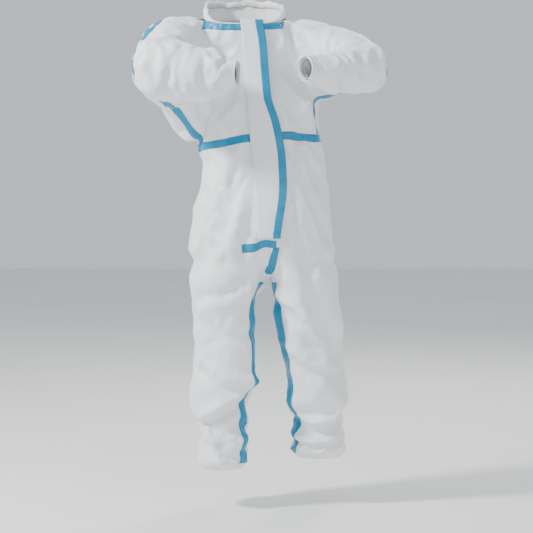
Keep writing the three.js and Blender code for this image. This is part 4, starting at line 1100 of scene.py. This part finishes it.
flap_z = np.linspace(FLAP_ROWS[0][0], FLAP_ROWS[-1][0], 190)
flap = grid_object("cloth_storm_flap", [[flap_point(u, z, FLAP_LIFT) for u in np.linspace(0, 1, 26)][::-1]
                                        for z in flap_z])
flap = thicken(flap, 0.9, -1)
finish_piece(flap, WHITE, "flap", "white_fabric", "storm_flap")
edge_rows = []
for z in flap_z:
    width = between(FLAP_ROWS, z)[0]
    share = 1 - 20.5 / width
    edge_rows.append([flap_point(u, z, FLAP_LIFT + 0.5) for u in np.linspace(share, 1, 9)][::-1])
edge_tape = thicken(grid_object("film_flap_edge_tape", edge_rows), 0.4, -1)
finish_piece(edge_tape, BLUE, "flap", "seam_tape", "flap_edge_tape")
root_rows = [[flap_point(0, z, 0.2) + np.array((-2.5 * math.sin(t * math.pi), -t * FLAP_LIFT, 0))
              for t in np.linspace(0, 1, 7)] for z in flap_z]
root = thicken(grid_object("cloth_flap_root", root_rows), 0.9, 1)
finish_piece(root, WHITE, "suit", "white_fabric", "flap_root")
print("flap:", len(flap.data.polygons), "faces")

# %% [markdown]
# The zip lies in a slot under the flap: two woven tapes, each carrying a nylon coil. A coil is a thread
# wound in a flattened spiral, one turn for each tooth, so Geometry Nodes wind it: a spiral curve gets a
# round thread section.

# %% Zip tapes
ZIP_SINK = 1.2  # the zip's middle plane, below the cloth's outer face


def zip_place(down, left, out):
    return ZIP_TOP + ZIP_DOWN * down + ZIP_LEFT * left + ZIP_OUT * (out - ZIP_SINK)


for name, side in (("right", -1), ("left", 1)):
    rows = []
    for down in np.linspace(0, ZIP_LENGTH, 150):
        row = []
        for across in np.linspace(4, 18.5, 10):
            rise = 0.25 * math.sin(across * 3.1) + 0.25 * math.sin(down * 0.11 + side)
            row.append(zip_place(down, side * across, rise))
        rows.append(row if side < 0 else row[::-1])
    tape = thicken(grid_object("woven_zip_tape_" + name, rows), 0.7, 0)
    finish_piece(tape, ZIP_CLOTH, "suit", "zip_cloth", "zip_tape_" + name)

# %% Nodes that wind a coil
def node_group(name, sockets):
    tree = bpy.data.node_groups.new(name, "GeometryNodeTree")
    tree.interface.new_socket("Geometry", in_out="OUTPUT", socket_type="NodeSocketGeometry")
    for label, kind, value in sockets:
        socket = tree.interface.new_socket(label, in_out="INPUT", socket_type=kind)
        if value is not None:
            socket.default_value = value
    return tree, tree.nodes.new("NodeGroupInput"), tree.nodes.new("NodeGroupOutput")


def set_inputs(modifier, values):
    for item in modifier.node_group.interface.items_tree:
        if item.in_out == "INPUT" and item.name in values:
            modifier[item.identifier] = values[item.name]


def coil_tree():
    tree, given, result = node_group("wind_a_coil", [
        ("Geometry", "NodeSocketGeometry", None), ("Turns", "NodeSocketFloat", 180.0),
        ("Length", "NodeSocketFloat", 0.4), ("Coil radius", "NodeSocketFloat", 0.0012),
        ("Thread radius", "NodeSocketFloat", 0.0004), ("Flatness", "NodeSocketFloat", 0.8),
        ("Material", "NodeSocketMaterial", None)])
    link = tree.links.new
    spiral = tree.nodes.new("GeometryNodeCurveSpiral")
    spiral.inputs["Resolution"].default_value = 9
    link(given.outputs["Turns"], spiral.inputs["Rotations"])
    link(given.outputs["Coil radius"], spiral.inputs["Start Radius"])
    link(given.outputs["Coil radius"], spiral.inputs["End Radius"])
    link(given.outputs["Length"], spiral.inputs["Height"])
    thread = tree.nodes.new("GeometryNodeCurvePrimitiveCircle")
    thread.inputs["Resolution"].default_value = 5
    link(given.outputs["Thread radius"], thread.inputs["Radius"])
    wound = tree.nodes.new("GeometryNodeCurveToMesh")
    link(spiral.outputs["Curve"], wound.inputs["Curve"])
    link(thread.outputs["Curve"], wound.inputs["Profile Curve"])
    wound.inputs["Fill Caps"].default_value = True
    flatten = tree.nodes.new("ShaderNodeCombineXYZ")
    flatten.inputs["X"].default_value = 1.0
    flatten.inputs["Z"].default_value = 1.0
    link(given.outputs["Flatness"], flatten.inputs["Y"])
    pressed = tree.nodes.new("GeometryNodeTransform")
    link(wound.outputs["Mesh"], pressed.inputs["Geometry"])
    link(flatten.outputs["Vector"], pressed.inputs["Scale"])
    real = tree.nodes.new("GeometryNodeRealizeInstances")
    link(pressed.outputs["Geometry"], real.inputs["Geometry"])
    dressed = tree.nodes.new("GeometryNodeSetMaterial")
    link(real.outputs["Geometry"], dressed.inputs["Geometry"])
    link(given.outputs["Material"], dressed.inputs["Material"])
    link(dressed.outputs["Geometry"], result.inputs["Geometry"])
    return tree


def grown(name, tree, values, source=None):
    """Runs a node tree on an empty mesh, or on a given one, and keeps the result as a plain mesh."""
    obj = linked(name, source or bpy.data.meshes.new(name))
    modifier = obj.modifiers.new("nodes", "NODES")
    modifier.node_group = tree
    set_inputs(modifier, values)
    return settle(obj)


COIL = coil_tree()
TEETH_PITCH, TEETH_MARGIN = 2.5, 4.4
teeth_length = ZIP_LENGTH - 2 * TEETH_MARGIN
for name, side in (("right", -1), ("left", 1)):
    coil = grown("zip_coil_" + name, COIL, {
        "Turns": teeth_length / TEETH_PITCH, "Length": teeth_length * MM, "Coil radius": 0.95 * MM,
        "Thread radius": 0.38 * MM, "Flatness": 0.85, "Material": NYLON})
    frame_of_coil = Matrix([list(v) for v in np.column_stack((ZIP_LEFT, ZIP_OUT, ZIP_DOWN))]).to_4x4()
    frame_of_coil.translation = Vector(zip_place(TEETH_MARGIN, side * 2.65, 0) * MM)
    coil.data.transform(frame_of_coil)
    bm = bmesh.new()
    bm.from_mesh(coil.data)
    bmesh.ops.recalc_face_normals(bm, faces=bm.faces)
    bm.to_mesh(coil.data)
    bm.free()
    finish_piece(coil, NYLON, "suit", "zip_plastic", "zip_teeth_" + name)
    print(coil.name, len(coil.data.polygons), "faces")

# %% [markdown]
# Small moulded parts keep the shape of the solid model, with the nylon finish: the slider and its pull, and
# the stops at the zip's ends. The adhesive under the flap keeps its shape too.

# %% Finishes on the small moulded parts
for node in ("zip_slider", "zip_pull", "zip_top_stop_right", "zip_top_stop_left", "zip_bottom_stop"):
    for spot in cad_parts[node].material_slots:
        spot.material = NYLON
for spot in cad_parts["flap_adhesive"].material_slots:
    spot.material = STICKY

# %% Facing behind the zip
facing_rows = []
for down in np.linspace(0, ZIP_LENGTH + 12, 120):
    facing_rows.append([zip_place(down, across, -6.2 - 0.9 * math.sin(down * 0.035 + across * 0.05)
                                  - 0.5 * noise.noise(Vector((across * 0.09, down * 0.04, 5))))
                        for across in np.linspace(-20, 25, 14)])
facing = thicken(grid_object("cloth_zip_facing", facing_rows), 0.7, 0)
finish_piece(facing, WHITE, "suit", "white_fabric", "zip_facing")

# %% [markdown]
# Stitches hold the flap's root. A row of stitches is one short rounded thread, set again and again along a
# line, and turned to follow it: work for Geometry Nodes.

# %% Nodes that sew along a line
def stitch_tree():
    tree, given, result = node_group("sew_along_a_line", [
        ("Geometry", "NodeSocketGeometry", None), ("Spacing", "NodeSocketFloat", 0.004),
        ("Stitch length", "NodeSocketFloat", 0.003), ("Thread radius", "NodeSocketFloat", 0.0003),
        ("Material", "NodeSocketMaterial", None)])
    link = tree.links.new
    line = tree.nodes.new("GeometryNodeMeshToCurve")
    link(given.outputs["Geometry"], line.inputs["Mesh"])
    even = tree.nodes.new("GeometryNodeResampleCurve")
    even.mode = "LENGTH"
    link(line.outputs["Curve"], even.inputs["Curve"])
    link(given.outputs["Spacing"], even.inputs["Length"])
    thread = tree.nodes.new("GeometryNodeMeshUVSphere")
    thread.inputs["Segments"].default_value = 6
    thread.inputs["Rings"].default_value = 5
    thread.inputs["Radius"].default_value = 1.0
    tangent = tree.nodes.new("GeometryNodeInputTangent")
    turn = tree.nodes.new("FunctionNodeAlignRotationToVector")
    turn.axis = "X"
    link(tangent.outputs["Tangent"], turn.inputs["Vector"])
    half = tree.nodes.new("ShaderNodeMath")
    half.operation = "MULTIPLY"
    half.inputs[1].default_value = 0.5
    link(given.outputs["Stitch length"], half.inputs[0])
    size = tree.nodes.new("ShaderNodeCombineXYZ")
    link(half.outputs["Value"], size.inputs["X"])
    link(given.outputs["Thread radius"], size.inputs["Y"])
    link(given.outputs["Thread radius"], size.inputs["Z"])
    sewn = tree.nodes.new("GeometryNodeInstanceOnPoints")
    link(even.outputs["Curve"], sewn.inputs["Points"])
    link(thread.outputs["Mesh"], sewn.inputs["Instance"])
    link(turn.outputs["Rotation"], sewn.inputs["Rotation"])
    link(size.outputs["Vector"], sewn.inputs["Scale"])
    real = tree.nodes.new("GeometryNodeRealizeInstances")
    link(sewn.outputs["Instances"], real.inputs["Geometry"])
    dressed = tree.nodes.new("GeometryNodeSetMaterial")
    link(real.outputs["Geometry"], dressed.inputs["Geometry"])
    link(given.outputs["Material"], dressed.inputs["Material"])
    link(dressed.outputs["Geometry"], result.inputs["Geometry"])
    return tree


STITCHES = stitch_tree()


def sew(name, lines, body, spacing=4.2, length=3.0, radius=0.32):
    """Stitches along polylines of points in millimetres."""
    points, edges = [], []
    for line in lines:
        first = len(points)
        points += [tuple(p * MM) for p in line]
        edges += [(first + i, first + i + 1) for i in range(len(line) - 1)]
    mesh = bpy.data.meshes.new(name)
    mesh.from_pydata(points, edges, [])
    obj = grown(name, STITCHES, {"Spacing": spacing * MM, "Stitch length": length * MM,
                                 "Thread radius": radius * MM, "Material": ELASTIC}, mesh)
    print(name, len(obj.data.polygons), "faces")
    return finish_piece(obj, ELASTIC, body, "elastic")


# %% Sewing the flap
flap_seam = [[flap_point(u, z, FLAP_LIFT + 0.25) for z in flap_z] for u in (0.045, 0.16)]
sew("stitches_flap_root", flap_seam, "flap")

# %% [markdown]
# At wrists and ankles a narrow elastic pulls the cloth into small gathers. The gathered end is a short ring
# whose radius ripples, most strongly at the very end, with the ribbed elastic just inside it.

# %% Gathered ends
def ripple(angle, count, seed):
    wander = 1.4 * noise.noise(Vector((math.cos(angle) * 1.3, math.sin(angle) * 1.3, seed)))
    return math.sin(angle * count + wander * 3) * (0.7 + 0.3 * math.sin(angle * 5 + seed))


def ring_rows(centre, way, side_a, side_b, radii, heights, count, depth, seed, samples=220):
    """Rows of a gathered ring: its depth of gather and radius change along it."""
    rows = []
    for height, swell, gather in heights:
        row = []
        for angle in np.linspace(0, 2 * math.pi, samples, endpoint=False):
            out = swell + gather * depth * ripple(angle, count, seed)
            row.append(centre + way * height + side_a * math.cos(angle) * (radii[0] + out)
                       + side_b * math.sin(angle) * (radii[1] + out))
        rows.append(row)
    return rows


def closed_ring_object(name, rows):
    wide = len(rows[0])
    faces = [(r * wide + c, r * wide + (c + 1) % wide, (r + 1) * wide + (c + 1) % wide, (r + 1) * wide + c)
             for r in range(len(rows) - 1) for c in range(wide)]
    points = np.array([p for row in rows for p in row])
    mesh = bpy.data.meshes.new(name)
    mesh.from_pydata((points * MM).tolist(), [], faces)
    mesh.update()
    middle = points.mean(0)
    outwards = sum((np.array(p.center) / MM - middle) @ np.array(p.normal) for p in mesh.polygons)
    if outwards < 0:
        mesh.flip_normals()
    return linked(name, mesh)


GATHER_PROFILE = [(-26, -0.4, 0.0), (-21, 0.9, 0.35), (-17, 1.3, 0.7), (-13, 0.8, 0.95), (-9, 0.1, 0.85),
                  (-5, 0.6, 1.0), (-2, 1.4, 1.15), (0, 1.6, 1.2)]
ELASTIC_PROFILE = [(-11, -4.6, 0.25), (-8, -4.2, 0.4), (-5, -4.6, 0.4), (-1.5, -4.3, 0.3)]
UP = np.array((0.0, 0, 1))


def gathered_end(part, name, centre, way, side_a, side_b, radii, count, depth, body, seed):
    gather_rows = ring_rows(centre, way, side_a, side_b, radii, GATHER_PROFILE, count, depth, seed)
    band_rows = ring_rows(centre, way, side_a, side_b, radii, ELASTIC_PROFILE, count, depth * 0.5, seed)
    gather = closed_ring_object(f"gathers_{part}_{name}", gather_rows)
    finish_piece(thicken(gather, 0.8, -1), WHITE, body, "white_fabric")
    band = closed_ring_object(f"band_{part}_elastic_{name}", band_rows)
    finish_piece(thicken(band, 1.2, 0), ELASTIC, body, "elastic", f"{part}_elastic_{name}")


for number, (name, arm) in enumerate(ARMS.items()):
    across = unit(np.cross(arm["fore_way"], UP))
    gathered_end("wrist", name, arm["wrist"], arm["fore_way"], across, UP, (31, 31), 26, 1.3,
                 name + "_forearm", 3 + number)
for number, (name, leg) in enumerate(LEGS.items()):
    x, y, half_width, half_depth = between(leg["rows"], leg["hem"])
    gathered_end("ankle", name, np.array((x, y, leg["hem"])), -UP, np.array((1.0, 0, 0)),
                 np.array((0, 1.0, 0)), (half_width, half_depth), 38, 1.7, "suit", 11 + number)

# %% Waist elastic, sewn inside the back
waist = strip("band_waist_elastic", BODY_NET, (10 - np.abs(Z + 390.6), Y - torso_middle_y(-390) - 30,
                                               -past_elbow(ARMS["right"])), lift=-1.6, wall=1.2)
finish_piece(waist, ELASTIC, "suit", "elastic", "waist_elastic")

# %% [markdown]
# The hood is not worn: it lies folded down the back, and its lower part stands around the neck as a
# crumpled collar. The collar is a doubled sheet that rises from the neck seam, turns over and comes down
# inside, a little past the seam.

# %% Collar
COLLAR_HEIGHT = 30.0
COLLAR_SAMPLES = 260
neck_foot = ring((NECK_MIDDLE[0], neck_middle_y, 0), (106, 0, 0), (0, 84, 0), COLLAR_SAMPLES, SQUARE_TORSO)
neck_front_y = neck_middle_y - 84


def collar_height(y):
    share = min(1, max(0, (y - neck_front_y - 6) / 92))
    return COLLAR_HEIGHT * share * share * (3 - 2 * share)


def collar_point(foot, up, inside):
    """up runs from 0 at the seam to 1 at the fold; inside is how far within the outer layer."""
    middle = np.array((NECK_MIDDLE[0], neck_middle_y, 0))
    outwards = unit((foot - middle) * (1, 1, 0))
    tall = collar_height(foot[1])
    angle = math.atan2(outwards[1], outwards[0])
    around = Vector((math.cos(angle), math.sin(angle), 0))
    slump = 7.0 * noise.noise(around * 2.1 + Vector((0, 0, up * 1.1)))
    crease = 9.0 * abs(noise.noise(around * 3.7 + Vector((up * 0.9, up * 0.5, 4))))
    rise = 1 + 0.55 * noise.noise(around * 1.7 + Vector((5, 2, 0))) + 0.25 * noise.noise(around * 5.0)
    standing = max(0, up)
    out = standing * (slump + crease - 5 * standing) * min(1, tall / 18) - inside
    at = foot + outwards * out
    at[2] = 10.4 + math.tan(NECK_TILT) * at[1] + standing * tall * rise + min(0, up) * NECK_LINING
    return at


NECK_LINING = 26.0  # how far the inner layer reaches down below the neck seam
collar_profile = [(0, 0), (0.15, 0), (0.3, 0), (0.45, 0), (0.6, 0), (0.75, 0), (0.88, 0.3), (0.97, 1.4),
                  (1.0, 3.2), (0.97, 5.0), (0.88, 6.0), (0.7, 6.2), (0.5, 6.0), (0.3, 5.6), (0.1, 5.4),
                  (-0.2, 5.4), (-0.6, 5.4), (-1, 5.4)]
collar_rows = [[collar_point(foot, up, inside) for foot in neck_foot] for up, inside in collar_profile]
collar = thicken(closed_ring_object("cloth_hood_collar", collar_rows), 0.8, -1)
finish_piece(collar, WHITE, "suit", "white_fabric", "hood_collar")
elastic_rows = [[collar_point(foot, up, 8.6) for foot in neck_foot] for up in (0.5, 0.6, 0.7, 0.8)]
collar_elastic = thicken(closed_ring_object("band_hood_elastic", elastic_rows), 1.2, 0)
finish_piece(collar_elastic, ELASTIC, "suit", "elastic", "hood_elastic")

# %% [markdown]
# The folded hood is a flat pouch of two layers. It is lofted a little slack, remeshed to an even net, given
# a few long soft folds, and puffed by a short simulation with a breath of air inside. Then its three panels
# are cut.

# %% Hood
HOOD_WIDTH, HOOD_DROP, HOOD_THICKNESS = 250.0, 258.0, 30.0
HOOD_ROWS = [(0, 0.3, 0.2), (0.07, 0.38, 0.3), (0.14, 0.43, 0.36), (0.22, 0.46, 0.42), (0.3, 0.48, 0.46),
             (0.42, 0.5, 0.5), (0.62, 0.5, 0.5), (0.85, 0.4, 0.44), (1, 0.22, 0.2)]


def back_of_torso(z):
    return torso_middle_y(z) + between(TORSO_ROWS, z)[2]


fold_z = 40 + math.tan(NECK_TILT) * back_of_torso(10) - 2
hood_rings = []
for share, half_width, half_thickness in HOOD_ROWS:
    z = fold_z - share * HOOD_DROP
    thick = half_thickness * HOOD_THICKNESS
    behind = max(back_of_torso(min(z, 10) - 12), back_of_torso(10) + 7)
    hood_rings.append(ring((NECK_MIDDLE[0] + 10 * share, behind + 6 + thick, z),
                           (half_width * HOOD_WIDTH - 2, 0, 0), (0, thick - 1, 0), 60, 2.6))
hood = mesh_object("hood_net", *loft(hood_rings))
skin = hood.modifiers.new("skin", "REMESH")
skin.mode = "VOXEL"
skin.voxel_size = 6.5 * MM
settle(hood)
hood_rest = coordinates(hood.data)
hood_normals = vertex_normals(hood.data)
HOOD_FOLDS = [
    ([(-130, -20), (-60, -50), (20, -45), (105, -15)], 5, 9),
    ([(-120, -90), (-50, -75), (40, -95), (110, -80)], 5, 10),
    ([(-100, -140), (-10, -120), (90, -145)], 5, 9),
    ([(-40, 40), (-50, -40), (-30, -150)], 4, 8),
    ([(30, 45), (45, -60), (20, -160)], 4, 8),
]
hood_push = fold_heights(hood_rest, hood_normals, HOOD_FOLDS, 1)
hood_push += 2.5 * np.array([noise.fractal(Vector(p) * 0.03, 1.0, 2.0, 3) for p in hood_rest])
near_top = np.clip((hood_rest[:, 2] - (fold_z - 14)) / 10, 0, 1)
hood_push *= (1 - near_top) * np.where(hood_normals[:, 1] < -0.2, 0.25, 1)
hood_start = hood_rest + hood_normals * hood_push[:, None]
set_coordinates(hood.data, hood_start)
hood_draped = drape(hood, None, near_top, surplus=0.06, frames=16, bending=3.0, gravity=0.25,
                    pressure=0.35)
hood_moved = hood_draped - hood_start
far = np.linalg.norm(hood_moved, axis=1)
HOOD_CAP = 9.0
hood_draped = hood_start + hood_moved * (HOOD_CAP * np.tanh(far / HOOD_CAP) / np.maximum(far, 1e-6))[:, None]
hood_draped[:, 1] = np.maximum(hood_draped[:, 1], hood_rest[:, 1] - 2.5)
print("hood moved", round(far.mean(), 1), "mm on average")

# %% A finer hood, its panels and its tapes
def finer(obj, points):
    set_coordinates(obj.data, points)
    modifier = obj.modifiers.new("finer", "SUBSURF")
    modifier.levels = modifier.render_levels = 1
    mesh = evaluated_copy(obj)
    obj.modifiers.clear()
    return mesh


hood_at_rest = coordinates(finer(hood, hood_rest))
hood_mesh = finer(hood, hood_draped)
hood_faces = np.array([tuple(p.vertices) for p in hood_mesh.polygons])
hood_net = (coordinates(hood_mesh), vertex_normals(hood_mesh), hood_faces)
HX, _, HZ = hood_at_rest.T
seam_side = np.abs(HX - (NECK_MIDDLE[0] + 5)) - 0.17 * HOOD_WIDTH
face_side = seam_side[hood_faces].mean(1)
face_x = (HX - NECK_MIDDLE[0] - 5)[hood_faces].mean(1)
HOOD_HINGE = np.array((-14.0, 80, 57))


def hang_from_collar(obj):
    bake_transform(obj, "suit", "hood", start=tuple(HOOD_HINGE * MM), end=tuple((HOOD_HINGE + (0, 6, -34)) * MM))


for name, mask, node in (("centre", face_side <= 0, "hood_centre"),
                         ("side_right", (face_side > 0) & (face_x < 0), "hood_side_right"),
                         ("side_left", (face_side > 0) & (face_x > 0), "hood_side_left")):
    hood_panel = thicken(from_faces("cloth_hood_" + name, hood_net[0], hood_faces[mask]), CLOTH_WALL)
    finish_piece(hood_panel, WHITE, None, "white_fabric", node)
    hang_from_collar(hood_panel)
back_facing = vertex_normals(finer(hood, hood_rest))[:, 1]
for name, side in (("right", -1), ("left", 1)):
    tape = strip("film_hood_tape_" + name, hood_net, (
        HALF_TAPE - np.abs(HX - NECK_MIDDLE[0] - 5 - side * 0.17 * HOOD_WIDTH), back_facing - 0.12,
        fold_z - 6 - HZ, HZ - (fold_z - 0.93 * HOOD_DROP)))
    finish_piece(tape, BLUE, None, "seam_tape", "hood_tape_" + name)
    hang_from_collar(tape)

# %% Clearing the nets away
for spare in (garment, hood):
    bpy.data.objects.remove(spare)

# %% [markdown]
# The studio. A plain pale floor at the height of the wearer's soles, a pale surround, a small strong light
# from the upper left that rakes across the folds, a wide weak one from the right, and one from behind to
# draw the edges.

# %% Floor, surround and lights
FLOOR_Z = -1.299
floor_mesh = bpy.data.meshes.new("floor")
floor_corners = [(-9, -7, FLOOR_Z), (9, -7, FLOOR_Z), (9, 9, FLOOR_Z), (-9, 9, FLOOR_Z)]
floor_mesh.from_pydata(floor_corners, [], [(0, 1, 2, 3)])
floor = linked("floor", floor_mesh)
paving, tree, shader, place = new_finish("pale_floor")
tree.links.new(ramp(tree, noise_node(tree, place, 2.2, 4), 0.3, 0.7, (0.80, 0.80, 0.80), (0.84, 0.84, 0.84)),
               shader.inputs["Base Color"])
shader.inputs["Roughness"].default_value = 0.75
floor_mesh.materials.append(paving)

world = bpy.data.worlds.new("surround")
world.use_nodes = True
world.node_tree.nodes["Background"].inputs["Color"].default_value = (0.94, 0.97, 1.0, 1)
world.node_tree.nodes["Background"].inputs["Strength"].default_value = 0.72
bpy.context.scene.world = world


def soft_light(name, place, size, power, colour=(1, 1, 1)):
    lamp = bpy.data.lights.new(name, "AREA")
    lamp.shape = "DISK"
    lamp.size = size
    lamp.energy = power
    lamp.color = colour
    holder = linked(name, lamp)
    holder.location = place
    holder.rotation_euler = (Vector((0.03, 0, -0.6)) - Vector(place)).to_track_quat("-Z", "Y").to_euler()


soft_light("key", (-2.5, -1.2, 1.6), 0.5, 190)
soft_light("fill", (2.2, -2.8, 0.3), 2.0, 30, (0.95, 0.97, 1.0))
soft_light("edge", (1.2, 2.6, 1.4), 1.4, 60)
